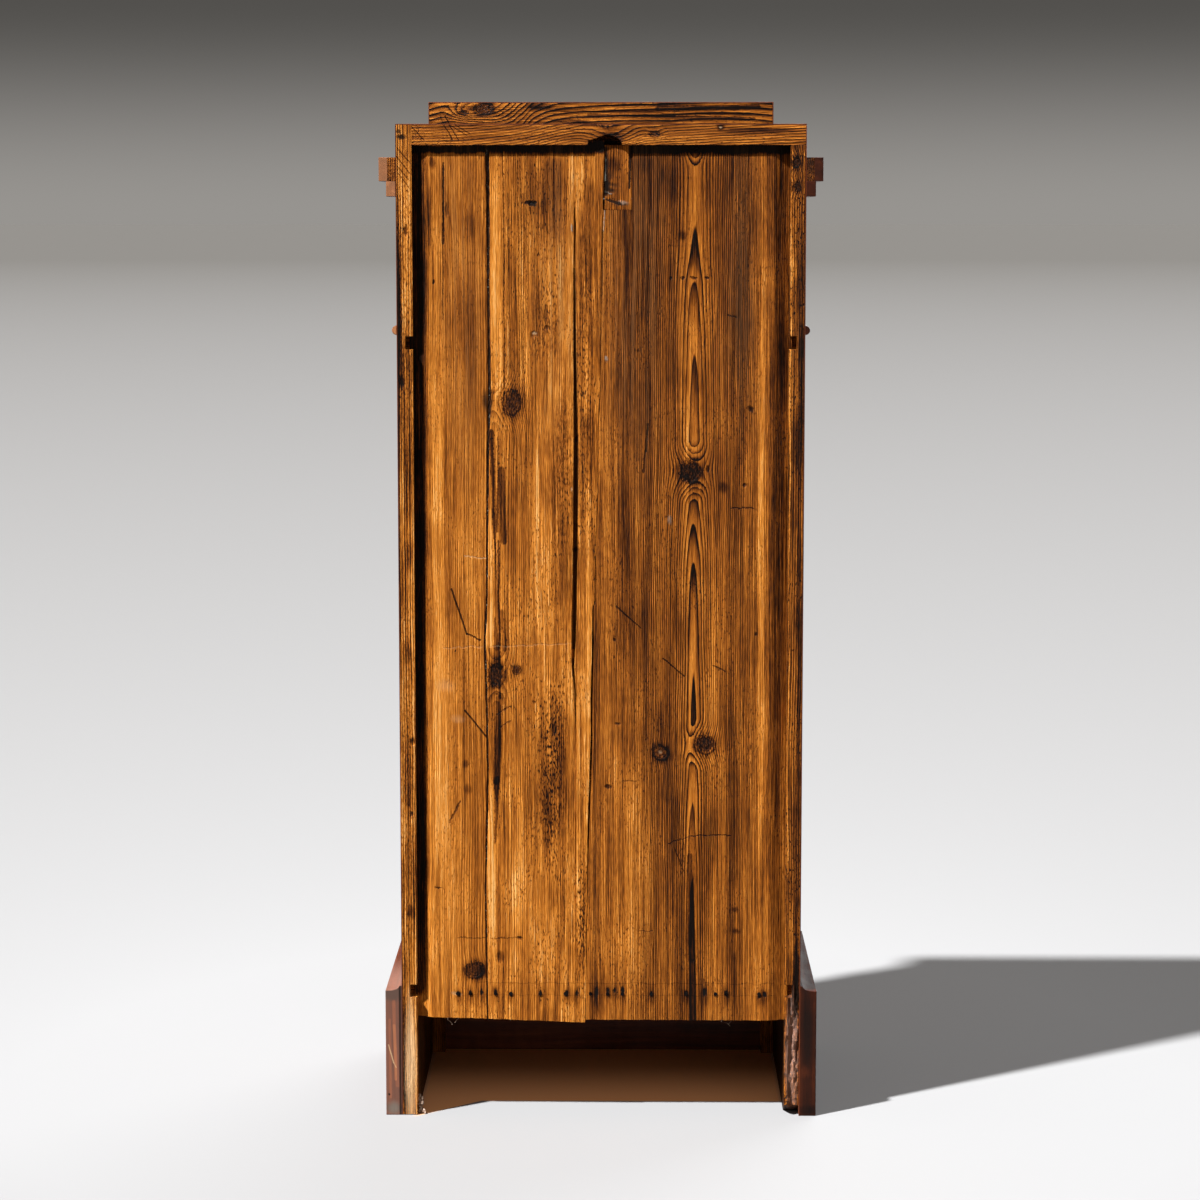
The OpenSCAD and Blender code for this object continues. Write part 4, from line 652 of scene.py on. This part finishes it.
def mahoganyFinish(name, axes, level=0.52, polished=True, flame=None, marks=(), shine=0.1):
    # ribbon-striped veneer; a flame is the centre of a curled figure that rises like a plume
    f = Finish(name)
    places = dict(zip("xyz", f.split(f.place())))
    across, along, deep = (places[a] for a in axes)
    plain = f.join(across, along, deep)
    waver = f.grit(plain, mahogany["waver"], 2.0)
    ribbon = f.grit(f.join(across + waver * 0.03, along, deep), mahogany["ribbon"], 2.0)
    stripe = f.grit(f.join(across + waver * 0.02, along, deep), mahogany["stripe"], 2.0)
    pores = f.grit(plain, mahogany["pores"], 1.0)
    curl = f.grit(plain, mahogany["curl"], 1.0)
    worn = f.grit(plain, mahogany["worn"], 3.0, 0.6)
    shade = f.math("MULTIPLY_ADD", ribbon - 0.5, 0.75, level)
    shade = f.math("MULTIPLY_ADD", stripe - 0.5, 0.55, shade)
    shade = f.math("MULTIPLY_ADD", curl - 0.5, 0.30 if flame else 0.08, shade)
    shade = f.math("MULTIPLY_ADD", worn - 0.5, 0.35, shade)
    if flame:
        side = across - flame["centre"] + (waver - 0.5) * 0.05
        plume = along - side * side * flame["arch"] + (curl - 0.5) * 0.012
        tongues = f.grit(f.join(plume * 30, side * 7, deep), (1, 1, 1), 3.0, 0.6)
        shade = f.math("MULTIPLY_ADD", tongues - 0.5, 1.1, shade)
        shade = shade - f.fade(f.math("ABSOLUTE", side), flame["heart"], 0.0) * 0.16
    pore = f.fade(pores, 0.6, 0.72)
    shade = shade - pore * 0.16
    height = (1 - pore) * 0.6 + worn * 0.5
    paint = []
    marked = f.join(across + (pores - 0.5) * 0.001, along + (stripe - 0.5) * 0.004, 0.0)
    for kind, *where, amount in marks:
        mask = f.mark(marked, where)
        if kind in overlays:
            paint.append((kind, mask * amount))
        else:
            shade = f.math("MULTIPLY_ADD", mask, amount, shade)
        height = f.math("MULTIPLY_ADD", mask, -0.5, height)
    colour = f.add("ShaderNodeValToRGB", {"stops": mahogany["scale"]}, {0: shade})
    for kind, mask in paint:
        colour = f.mix(mask, colour, overlays[kind])
    base = mahogany["gloss"] if polished else mahogany["bare"]
    rough = f.fade(worn, 0.35, 0.7, base, base + 0.16) + pore * 0.1
    level = mahogany["shine"] if polished else shine
    return f.finish(colour, rough, height, 0.00018, Specular_IOR_Level=level)


plinthEndRight = [
    ("haze", 0.338, 0.10, 0.030, 0.16, 0.2, 0.22), ("band", 0.343, 0.205, 0.012, 0.010, 0.6, -0.3),
    ("band", 0.338, 0.205, 0.020, 0.012, 0.5, -0.35),
    ("band", (0.338, 0.19), (0.336, 0.06), (0.0030, 0.0022), 0.30),
    ("band", (0.345, 0.16), (0.344, 0.03), (0.0022, 0.0018), 0.20),
    ("pale", (0.347, 0.118), (0.339, 0.088), 0.0010, 0.6),
    ("pale", (0.339, 0.088), (0.335, 0.080), 0.0009, 0.5),
    ("soot", 0.3465, 0.035, 0.0016, 0.0020, 0.4, 0.95), ("filler", 0.339, 0.012, 0.009, 0.010, 0.7, 0.35),
    ("band", 0.338, 0.012, 0.014, 0.006, 0.6, -0.3), ("soot", (0.3280, 0.22), (0.3280, 0.0), 0.0018, 0.85),
    ("band", (0.338, 0.15), (0.333, 0.05), (0.0024, 0.0034), 0.22),
]
plinthEndLeft = [
    ("soot", -0.334, 0.10, 0.009, 0.16, 0.6, 0.45), ("band", -0.338, 0.14, 0.012, 0.05, 0.7, -0.22),
    ("band", (-0.347, 0.19), (-0.348, 0.02), (0.002, 0.002), 0.08),
    ("soot", -0.338, 0.10, 0.030, 0.16, 0.2, 0.25), ("band", -0.334, 0.075, 0.006, 0.010, 0.7, 0.2),
    ("band", -0.338, 0.01, 0.014, 0.008, 0.6, -0.2),
]
reds = {
    "upright": mahoganyFinish("uprightMahogany", "xzy"),
    "crosswise": mahoganyFinish("crossMahogany", "zxy"),
    "forward": mahoganyFinish("forwardMahogany", "zyx"),
    "door_panel": mahoganyFinish("flameMahogany", "xzy", flame={"centre": 0.0, "arch": 3.2, "heart": 0.05}),
    "drawer_front": mahoganyFinish(
        "drawerMahogany", "zxy", flame={"centre": 1.383, "arch": 6.0, "heart": 0.02}),
    "side": mahoganyFinish("sideMahogany", "yzx"),
    # the right ends' light tone is partly a painted highlight
    "end_right": mahoganyFinish("rightCorniceEndHighlit", "xyz", 0.80, polished=False, marks=[
        ("pale", 0.345, 0.21, 0.04, 0.04, 0.4, 0.18),
    ]),
    "end_left": mahoganyFinish("leftCorniceEnd", "xyz", 0.18, polished=False),
    # the haze on the right plinth face is a painted sheen where its sloped top catches the light
    "plinth_right_face": mahoganyFinish("rightPlinthFace", "zyx", 0.50, polished=False, marks=[
        ("haze", 0.225, 0.16, 0.04, 0.12, 0.7, 0.30),
    ]),
    # the left plinth face is a darker copy of the same veneer: painted shade on the side turned from the key
    # light
    "plinth_left_face": mahoganyFinish("leftPlinthFaceShaded", "zyx", 0.24, polished=False, shine=0.08),
    "ends": mahoganyFinish("bareMahogany", "xyz", 0.50, polished=False),
    "plinth_right": mahoganyFinish("rightPlinthEnd", "xzy", 0.54, polished=False, marks=plinthEndRight),
    "plinth_left": mahoganyFinish("leftPlinthEnd", "xzy", 0.30, polished=False, marks=plinthEndLeft),
}


def metalFinish(name, colour, spoilt, shine, rusty):
    f = Finish(name)
    place = f.place()
    blotch = f.grit(place, (70, 70, 70), 4.0)
    scratch = f.grit(place, (900, 260, 900), 2.0)
    spoiled = f.fade(blotch, 0.48, 0.66)
    shade = f.mix(spoiled * rusty, colour, spoilt)
    rough = f.fade(blotch, 0.3, 0.7, shine, shine + 0.3)
    return f.finish(shade, rough, scratch * 0.5 + blotch, 0.0002, Metallic=1.0)


metals = {
    "brass": metalFinish("agedBrass", tone(196, 156, 84), tone(104, 74, 40), 0.28, 0.8),
    "iron": metalFinish("darkIron", tone(92, 88, 84), tone(58, 40, 30), 0.42, 0.9),
    "rusted": metalFinish("rustedIron", tone(34, 30, 29), tone(22, 14, 10), 0.62, 0.9),
}
print("mahogany and metal finishes made")


# The arrises' rounding; the frieze rail stays square, with the mouth that the drawer's bolt enters
edgeWear = {"round": 0.0008, "steps": 2, "square": ("frieze_rail",)}
# The axis that each way of the grain runs along
grains = {"crosswise": 0, "forward": 1, "upright": 2}

# The sides' rear feet: how far wear reaches up and in, and how far the foot has rotted away
rot = {
    "side_left": {"head": 0.24, "depth": 0.0080, "lost": 0.008, "seed": 4.0},
    "side_right": {"head": 0.22, "depth": 0.0012, "lost": 0.002, "seed": 9.0},
}
rotInset = 0.02          # how far in from the rear edge both are worn


def makePiece(name, shape, *finishes):
    # a drawn shape as an object in the scene
    mesh = bpy.data.meshes.new(name)
    shape.to_mesh(mesh)
    shape.free()
    for finish in finishes:
        mesh.materials.append(finish)
    piece = bpy.data.objects.new(name, mesh)
    bpy.context.scene.collection.objects.link(piece)
    return piece


def rotFoot(shape, node):
    # cuts the foot finely and eats into its rear
    wear = rot[node]
    low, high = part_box(node)
    cuts = [((0, 0, wear["head"] * i / 48), (0, 0, 1)) for i in range(1, 49)]
    cuts += [((low.x + (high.x - low.x) * i / 8, 0, 0), (1, 0, 0)) for i in range(1, 8)]
    cuts += [((0, high.y - inset, 0), (0, 1, 0)) for inset in (0.004, 0.009, 0.016, 0.026)]
    for place, normal in cuts:
        everything = shape.verts[:] + shape.edges[:] + shape.faces[:]
        bmesh.ops.bisect_plane(shape, geom=everything, dist=1e-5, plane_co=place, plane_no=normal)
    for vertex in shape.verts:
        x, y, z = vertex.co
        if y < high.y - rotInset or z > wear["head"]:
            continue
        near = min((y - high.y + rotInset) / rotInset, 1) * min((wear["head"] - z) / 0.05, 1)
        broad = noise.noise(Vector((x * 130, z * 22, wear["seed"])))
        pits = broad + 0.45 * noise.noise(Vector((x * 420, z * 110, 2.0)))
        vertex.co.y -= near * wear["depth"] * min(max(pits + 0.35, 0), 1.2)
        if z < 0.02:
            bite = 0.5 + noise.noise(Vector((x * 160, 1.0, wear["seed"])))
            vertex.co.z += near * wear["lost"] * min(max(bite, 0), 1) * (1 - z / 0.02)


def wornCopy(node, body, slot, face, ends, way):
    # a softened copy of a CAD board, which stands for it; way is the direction of its grain
    shape = bmesh.new()
    shape.from_mesh(cad[node].data)
    bmesh.ops.remove_doubles(shape, verts=shape.verts, dist=1e-6)
    if node not in edgeWear["square"]:
        bmesh.ops.dissolve_limit(shape, angle_limit=0.02, verts=shape.verts, edges=shape.edges)
        arrises = [e for e in shape.edges
                   if len(e.link_faces) == 2 and e.is_convex and e.calc_face_angle() > 0.6]
        bmesh.ops.bevel(shape, geom=arrises, offset=edgeWear["round"], segments=edgeWear["steps"],
                        profile=0.5, affect="EDGES", clamp_overlap=True)
    if node in rot:
        rotFoot(shape, node)
    if ends:
        for part in shape.faces:
            part.material_index = 1 if abs(part.normal[grains[way]]) > 0.8 else 0
    piece = makePiece(node + "Worn", shape, *([face, ends] if ends else [face]))
    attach(piece, body)
    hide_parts(node)


# How each board's grain runs, by body and wood
ways = {
    "carcase": {
        "mahogany": {
            "upright": ("side_veneer_left", "side_veneer_right", "front_veneer"),
            "crosswise": ("top_veneer", "attic_veneer", "cornice_fascia_front", "architrave_front",
                          "plinth_front"),
            "forward": ("cornice_fascia_left", "cornice_fascia_right", "architrave_left", "architrave_right",
                        "bead_left", "bead_right", "plinth_left", "plinth_right"),
        },
        "pine": {
            "upright": ("side_right", "side_left", "plinth_blocks", "door_stop", "back_patch"),
            "crosswise": ("top_board", "attic_board", "frieze_rail", "dust_board", "bottom_board",
                          "cornice_core_front", "shelves"),
            "forward": ("cornice_core_left", "cornice_core_right", "shelf_cleats"),
        },
    },
    "door": {
        "mahogany": {"upright": ("door_stile_hinge", "door_stile_lock", "door_panel"),
                     "crosswise": ("door_rail_high", "door_rail_low", "door_moulding")},
    },
    "drawer": {
        "mahogany": {"crosswise": ("drawer_front", "drawer_bead")},
        "pine": {"crosswise": ("drawer_back",), "forward": ("drawer_sides", "drawer_bottom")},
    },
}
slots = dict.fromkeys(("side_left", "dust_board", "bottom_board", "back_board_left"), "pine_dark")


def veneerFinishes(node, way):
    # the finish of a veneer's face and that of its end grain
    if node.startswith("side_veneer"):
        return reds["side"], reds["ends"]
    if node in ("plinth_right", "plinth_left"):
        return reds[node + "_face"], reds[node]
    if node.startswith(("cornice", "architrave", "bead")):
        return reds[way], reds.get("end_" + node.split("_")[-1], reds["ends"])
    return reds.get(node, reds[way]), reds["ends"]


for body, kinds in ways.items():
    for kind, runs in kinds.items():
        for way, nodes in runs.items():
            for node in nodes:
                if kind == "pine":
                    wornCopy(node, body, slots.get(node, "pine"), pines.get(node, pines[way]), None, way)
                else:
                    wornCopy(node, body, "mahogany", *veneerFinishes(node, way), way)
print("boards softened")

metalNodes = {
    "brass": ("strike_plates", "hinge_leaves_frame", "hinge_leaves_door", "hinge_pins", "door_escutcheon",
              "drawer_escutcheon"),
    "rusted": ("back_nails",),
    "iron": ("hinge_screws_frame", "hinge_screws_door", "door_lock_case", "drawer_lock_case",
             "door_bolt", "drawer_bolt", "door_key", "drawer_key"),
}
for metal, nodes in metalNodes.items():
    for node in nodes:
        cad[node].data.materials.clear()
        cad[node].data.materials.append(metals[metal])
print("metal finishes given")


# The back is three boards, drawn as grids of points so that their edges can be ragged
back = {
    "outer": backFace,
    "inner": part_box("back_board_middle")[0].y,
    "head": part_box("back_board_middle")[1].z,
    "opening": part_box("side_right")[0].x,   # half the width between the sides
    "ceiling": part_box("top_board")[0].z,
    "bevel": 0.024,
    "bevelDrop": 0.008,
    "step": 0.006,
    "rebate": 0.006,         # how far the boards run on into the sides
    "bow": 0.0020,           # how far the boards stand out under the top board
    "bowStart": 1.40,
    "crackDepth": 0.0115,
    "deepest": 0.0125,
}
# X and height of the sawn feet
feet = {
    "back_board_right": [(rightJoint, 0.1590), (back["opening"], 0.1620)],
    "back_board_middle": [(leftJoint, 0.1530), (rightJoint, 0.1590)],
    "back_board_left": [(-back["opening"], 0.1570), (leftJoint, 0.1580)],
}
# Height, X and width of the old filling between the right and middle boards
filledJoint = [(0.15, 0.185, 0.0022), (0.38, 0.1875, 0.0028), (0.48, 0.185, 0.0028), (0.57, 0.183, 0.003),
               (0.71, 0.185, 0.0034), (0.78, 0.187, 0.0032), (0.87, 0.183, 0.0028), (1.0, 0.182, 0.0032),
               (1.12, 0.18, 0.0042), (1.19, 0.178, 0.0048), (1.3, 0.179, 0.0038), (1.48, 0.179, 0.0054),
               (1.59, 0.1805, 0.008)]
# Height and X of the open joint between the middle and left boards
openJoint = [(0.15, leftJoint), (0.26, 0.024), (0.44, 0.021), (0.54, 0.018), (0.63, 0.015), (0.69, 0.015),
             (0.77, 0.013), (0.84, 0.0128), (0.845, 0.0096), (0.95, 0.008), (1.01, 0.0055), (1.12, 0.0045),
             (1.19, 0.0005), (1.41, -0.0015), (1.48, -0.0035), (1.57, -0.006)]
# Height, X and width of the crack in the middle board
crack = [(0.62, 0.0405, 0.0004), (0.70, 0.041, 0.0014), (0.74, 0.045, 0.0036), (0.79, 0.0435, 0.0064),
         (0.92, 0.041, 0.0070), (1.11, 0.04, 0.0062), (1.24, 0.0415, 0.0038), (1.38, 0.0425, 0.0018),
         (1.45, 0.041, 0.0036), (1.47, 0.042, 0.0014), (1.49, 0.0425, 0.0004)]


def follow(path, height, column=1):
    # a value along a path, between its points
    if height <= path[0][0]:
        return path[0][column]
    for low, high in zip(path, path[1:]):
        if height <= high[0]:
            share = (height - low[0]) / (high[0] - low[0])
            return low[column] + (high[column] - low[column]) * share
    return path[-1][column]


def ragged(x, z, fineness, size):
    # how far a worn edge or face strays at a place
    return noise.noise(Vector((x * fineness, z * fineness, 3.7))) * size


# Height and width of the open joint's gap
openGap = [(0.15, 0.0006), (0.42, 0.0009), (0.46, 0.0030), (0.80, 0.0028), (0.85, 0.0014), (0.9, 0.0006)]


def splitEdge(height, side):
    # the open joint's two lips
    gap = follow(openGap, height)
    rough = ragged(side, height, 90, 0.0005) + ragged(side, height, 400, 0.0002)
    return follow(openJoint, height) + side * gap / 2 + rough


def fillingEdge(height, side):
    rough = ragged(side, height, 60, 0.0008) + ragged(side, height, 300, 0.0005)
    return follow(filledJoint, height) + side * follow(filledJoint, height, 2) / 2 + rough


def rightEdges(height):
    return fillingEdge(height, 1), back["opening"] + back["rebate"]


def middleEdges(height):
    return splitEdge(height, 1), fillingEdge(height, -1)


def leftEdges(height):
    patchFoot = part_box("back_patch")[0].z
    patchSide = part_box("back_patch")[0].x
    high = splitEdge(height, -1) if height < patchFoot else patchSide - 0.0004
    return -back["opening"] - back["rebate"], high


# share of the way across a board and depth of its worn arris
arris = [(0.0, 0.0011), (0.003, 0.0004), (0.008, 0.0001)]


def backBoard(node, edges, slit=None):
    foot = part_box(node)[0].z
    rows = round((back["head"] - foot) / back["step"])
    heights = [foot + (back["head"] - foot) * j / rows for j in range(rows + 1)]
    if node == "back_board_left":
        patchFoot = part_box("back_patch")[0].z
        heights = sorted(heights + [patchFoot - 0.0002, patchFoot + 0.0002])
    shape = bmesh.new()
    grid = []
    for z in heights:
        low, high = edges(z)
        stops = [low, high]
        if slit:
            middle = follow(slit, z)
            half = follow(slit, z, 2) / 2
            stops = [low, middle - half, middle + half, high]
        places = []
        for first, last in zip(stops, stops[1:]):
            if slit and first == stops[1]:
                sunk = back["crackDepth"] * min(max((last - first - 0.0006) / 0.0006, 0), 1)
                places += [(first + 0.0001, sunk), (last - 0.0001, sunk)]
                continue
            count = round(abs(edges(1.0)[1] - edges(1.0)[0]) / back["step"] / (2 if slit else 1))
            reach = last - first
            places += [(first + reach * share, drop) for share, drop in arris]
            places += [(first + reach * i / count, 0.0) for i in range(1, count)]
            places += [(last - reach * share, drop) for share, drop in reversed(arris)]
        row = []
        for x, drop in places:
            drop += back["bevelDrop"] * min(max(1 - (back["opening"] - abs(x)) / back["bevel"], 0), 1)
            drop += 0.0004 + ragged(x, z * 0.12, 60, 0.0003)
            drop -= back["bow"] * min(max((z - back["bowStart"]) / 0.12, 0), 1)
            sawn = follow(feet[node], x) + 0.6 * abs(ragged(x, 0, 180, 0.0022) + ragged(x, 1, 700, 0.0012))
            raised = z + (sawn - foot) * max(1 - (z - foot) / 0.03, 0)
            row.append(shape.verts.new((x, back["outer"] - min(drop, back["deepest"]), raised)))
        grid.append(row)
    for upper, lower in zip(grid[1:], grid):
        for i in range(len(lower) - 1):
            shape.faces.new((lower[i + 1], lower[i], upper[i], upper[i + 1]))
    # the board's thickness, carried in from the rim
    rim = [e for e in shape.edges if e.is_boundary]
    walls = bmesh.ops.extrude_edge_only(shape, edges=rim)["geom"]
    inner = [v for v in walls if isinstance(v, bmesh.types.BMVert)]
    for vertex in inner:
        vertex.co.y = back["inner"]
    mouth = [e for e in walls if isinstance(e, bmesh.types.BMEdge) and e.is_boundary]
    bmesh.ops.contextual_create(shape, geom=mouth)
    bmesh.ops.recalc_face_normals(shape, faces=shape.faces)
    piece = makePiece(node + "Board", shape, pines[node])
    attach(piece, "carcase")
    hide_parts(node)


filling = {"sunk": 0.0022, "step": 0.004, "lap": 0.0012, "rise": 0.006}


def fillJoint(name, path, finish):
    # a rough bead of old filling along a joint, a little below the boards' faces
    shape = bmesh.new()
    foot, head = path[0][0] + filling["rise"], back["ceiling"]
    rows = round((head - foot) / filling["step"])
    last = None
    for j in range(rows + 1):
        z = foot + (head - foot) * j / rows
        half = follow(path, z, 2) / 2 + filling["lap"]
        middle = follow(path, z)
        row = []
        for share in (-1, -0.6, -0.2, 0.2, 0.6, 1):
            lump = ragged(share * 9, z, 120, 0.0009) + ragged(share * 9, z, 420, 0.0008)
            deep = filling["sunk"] + (0.001 if abs(share) == 1 else 0)
            row.append(shape.verts.new((middle + half * share, back["outer"] - deep + lump, z)))
        if last:
            for i in range(5):
                shape.faces.new((last[i + 1], last[i], row[i], row[i + 1]))
        last = row
    piece = makePiece(name, shape, finish)
    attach(piece, "carcase")


def fillingFinish():
    # dark wax and dirt with grey flecks of old putty
    f = Finish("oldFilling")
    place = f.place()
    lumps = f.grit(place, (500, 500, 120), 3.0, 0.7)
    patches = f.fade(f.grit(place, (30, 30, 30)), 0.46, 0.6)
    flecks = f.fade(f.grit(place, (900, 900, 260), 1.0), 0.62, 0.70) * patches
    colour = f.mix(f.fade(lumps, 0.35, 0.7), tone(14, 8, 5), tone(66, 38, 20))
    colour = f.mix(flecks, colour, tone(150, 142, 128))
    return f.finish(colour, 0.7, lumps, 0.001, Specular_IOR_Level=0.15)


fillJoint("jointFilling", filledJoint, fillingFinish())
backBoard("back_board_right", rightEdges)
backBoard("back_board_middle", middleEdges, crack)
backBoard("back_board_left", leftEdges)
print("back boards drawn")


def thread(name, points, thick, finish):
    # a curled thread or sliver, as a thin three-sided tube along its points
    shape = bmesh.new()
    last = None
    for i, point in enumerate(points):
        lean = math.tau / 3
        size = thick * (1 - 0.7 * i / len(points))
        ring = [shape.verts.new(Vector(point) + Vector((math.cos(lean * k), math.sin(lean * k), 0.4)) * size)
                for k in range(3)]
        if last:
            for k in range(3):
                shape.faces.new((last[k], last[(k + 1) % 3], ring[(k + 1) % 3], ring[k]))
        last = ring
    piece = makePiece(name, shape, finish)
    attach(piece, "carcase")


# Lint and slivers that hang from the back's sawn foot: X, length, curl and thickness
hangings = [(0.247, 0.014, 0.004, 0.0014), (0.236, 0.010, -0.003, 0.0016), (0.150, 0.007, 0.003, 0.0008),
            (0.062, 0.007, -0.004, 0.0007), (-0.062, 0.008, 0.002, 0.0007), (-0.205, 0.015, 0.008, 0.0010),
            (-0.214, 0.012, -0.007, 0.0009), (-0.169, 0.006, 0.003, 0.0007)]
hangFrom = {"height": 0.163, "inset": 0.006, "turns": 12}


def lintFinish():
    f = Finish("lint")
    fluff = f.grit(f.place(), (300, 300, 300), 3.0)
    colour = f.mix(f.fade(fluff, 0.35, 0.65), tone(120, 84, 62), tone(206, 180, 160))
    return f.finish(colour, 0.9, fluff, 0.0003)


def hangLint(finish):
    for i, (x, length, curl, thick) in enumerate(hangings):
        points = []
        for k in range(hangFrom["turns"] + 1):
            share = k / hangFrom["turns"]
            swing = math.sin(share * 4.2) * curl
            rear = back["outer"] - hangFrom["inset"] + 0.002 * math.cos(share * 5 + i)
            points.append((x + swing, rear, hangFrom["height"] - length * share - abs(swing) * 0.4))
        thread("lint" + str(i), points, thick, finish)


crumbs = {"seed": 5, "count": 34, "small": 0.0010, "large": 0.0034, "heap": 0.028, "spread": 0.010,
          "rear": 0.2045, "deep": 0.004}


def scatterCrumbs(finish):
    # crumbled wood caught against the foot of the right side
    chance = random.Random(crumbs["seed"])
    shape = bmesh.new()
    for i in range(crumbs["count"]):
        size = chance.uniform(crumbs["small"], crumbs["large"])
        high = crumbs["heap"] * chance.random() ** 1.3
        inward = crumbs["spread"] * chance.random() * (1 - high / 0.04)
        place = Vector((back["opening"] - 0.001 - inward, crumbs["rear"] - crumbs["deep"] * chance.random(),
                        high + size))
        lump = bmesh.ops.create_icosphere(shape, subdivisions=1, radius=size)["verts"]
        for vertex in lump:
            spread = 1 + 0.7 * noise.noise(vertex.co * 700 + Vector((i, 0, 0)))
            x, y, z = vertex.co * spread
            vertex.co = Vector((x, y, z * 1.5)) + place
    piece = makePiece("crumbs", shape, finish)
    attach(piece, "carcase")


hangLint(lintFinish())
scatterCrumbs(lintFinish())
print("lint and crumbs placed")

stage = {
    "bright": tone(161, 161, 162),
    "far": tone(97, 95, 92),
    "dull": tone(96, 90, 84),
    # The next two are painted bounce light, a warm tint and a faint glow for the wood's reflected light
    # beneath the case
    "warm": tone(255, 188, 128),
    "paintedGlow": tone(74, 47, 29),
    "sky": tone(151, 148, 144),
    "zenith": tone(82, 80, 77),
    "zenithHeight": 0.072,
    "reach": 600.0,
    "fadeStart": 1.0,
    "fadeEnd": 100.0,
    "half": 0.30,            # half the width of the painted bounce light on the floor beneath the case
    "front": -0.19,          # its front end
    "edge": 0.01,
    "shadeRear": 0.13,       # its rear end is the case's own shade, which slants from a corner
    "shadeCorner": 0.199,
    "shadeSlope": 0.84,
    "shadeSoft": 0.004,
    "paintedGlowFront": -0.10,
}


def makeFloor():
    f = Finish("studioFloor")
    reach = f.vector("LENGTH", f.place(), output="Value")
    span = math.log(stage["fadeEnd"] / stage["fadeStart"])
    share = f.math("DIVIDE", f.math("LOGARITHM", reach / stage["fadeStart"], math.e), span, clamp=True)
    shape = bmesh.new()
    bmesh.ops.create_circle(shape, cap_ends=True, radius=stage["reach"], segments=128)
    # painted bounce light: a warm tint and a faint glow stand for the wood's reflected light on the floor
    # beneath the case, as far as its shade reaches
    x, y, z = f.split(f.place())
    half, front, edge, soft = (stage[key] for key in ("half", "front", "edge", "shadeSoft"))
    shade = f.math("MAXIMUM", x - stage["shadeCorner"], 0.0) * stage["shadeSlope"] + stage["shadeRear"]
    within = f.fade(f.math("ABSOLUTE", x), half + edge, half - edge) * f.fade(y - shade, soft, -soft)
    paintedBounceArea = within * f.fade(y, front - edge, front + edge)
    plain = f.mix(share, stage["bright"], stage["far"])
    paintedGlow = f.mix(paintedBounceArea * f.fade(y, stage["paintedGlowFront"], stage["shadeRear"]), (0, 0, 0, 1), stage["paintedGlow"])
    pale = f.add("ShaderNodeBsdfPrincipled", None, {
        "Base Color": f.mix(paintedBounceArea, plain, stage["warm"]), "Roughness": 1.0, "Specular IOR Level": 0.0,
        "Emission Color": paintedGlow, "Emission Strength": 1.0})
    dull = f.add("ShaderNodeBsdfDiffuse", None, {"Color": stage["dull"]})
    both = f.add("ShaderNodeMixShader", None, {0: f.seen(), 1: dull, 2: pale})
    f.add("ShaderNodeOutputMaterial", None, {"Surface": both})
    floor = makePiece("floor", shape, f.owner)


def makeWorld():
    f = Finish("studio", bpy.data.worlds.new("studio"))
    bpy.context.scene.world = f.owner
    height = f.split(f.add("ShaderNodeTexCoord", output="Generated"))[2]
    backdrop = f.mix(f.fade(height, 0.0, stage["zenithHeight"]), stage["sky"], stage["zenith"])
    soft = f.add("ShaderNodeBackground", None,
                 {"Color": stageLight["ambientTone"], "Strength": stageLight["ambient"]})
    sky = f.add("ShaderNodeBackground", None, {"Color": backdrop, "Strength": 1.0})
    both = f.add("ShaderNodeMixShader", None, {0: f.seen(), 1: soft, 2: sky})
    f.add("ShaderNodeOutputWorld", None, {"Surface": both})


# Travel directions of the light; the key comes from high up behind the camera, at the photograph's left
stageLight = {
    "ambient": 0.175,
    "ambientTone": tone(255, 247, 238),
    "key": {"travel": (-0.497, -0.333, -0.80), "strength": 8.2, "angle": 2.2},
    "fill": {"travel": (0.25, -0.80, -0.45), "strength": 0.12, "angle": 60},
    "front": {"travel": (0.40, 0.80, -0.40), "strength": 2.4, "angle": 50},
}


def makeLamp(name, lamp):
    data = bpy.data.lights.new(name, "SUN")
    data.energy = lamp["strength"]
    data.angle = math.radians(lamp["angle"])
    light = bpy.data.objects.new(name, data)
    light.rotation_euler = (-Vector(lamp["travel"])).to_track_quat("Z", "Y").to_euler()
    bpy.context.scene.collection.objects.link(light)


camera = {"place": (-0.043, 5.01075, 1.462), "lens": 90.4, "pitch": 6.57, "yaw": 0.53, "shift": -0.03}


def makeCamera():
    data = bpy.data.cameras.new("camera")
    data.lens = camera["lens"]
    data.sensor_width = 36.0
    data.shift_y = camera["shift"]
    eye = bpy.data.objects.new("camera", data)
    pitch = math.radians(camera["pitch"])
    yaw = math.radians(camera["yaw"])
    ahead = Vector((math.sin(yaw) * math.cos(pitch), -math.cos(yaw) * math.cos(pitch), -math.sin(pitch)))
    eye.location = camera["place"]
    eye.rotation_euler = ahead.to_track_quat("-Z", "Y").to_euler()
    bpy.context.scene.collection.objects.link(eye)
    bpy.context.scene.camera = eye


makeFloor()
makeWorld()
for lampName in ("key", "fill", "front"):
    makeLamp(lampName, stageLight[lampName])
makeCamera()
bpy.context.scene.view_settings.view_transform = "Standard"
print("stage made")
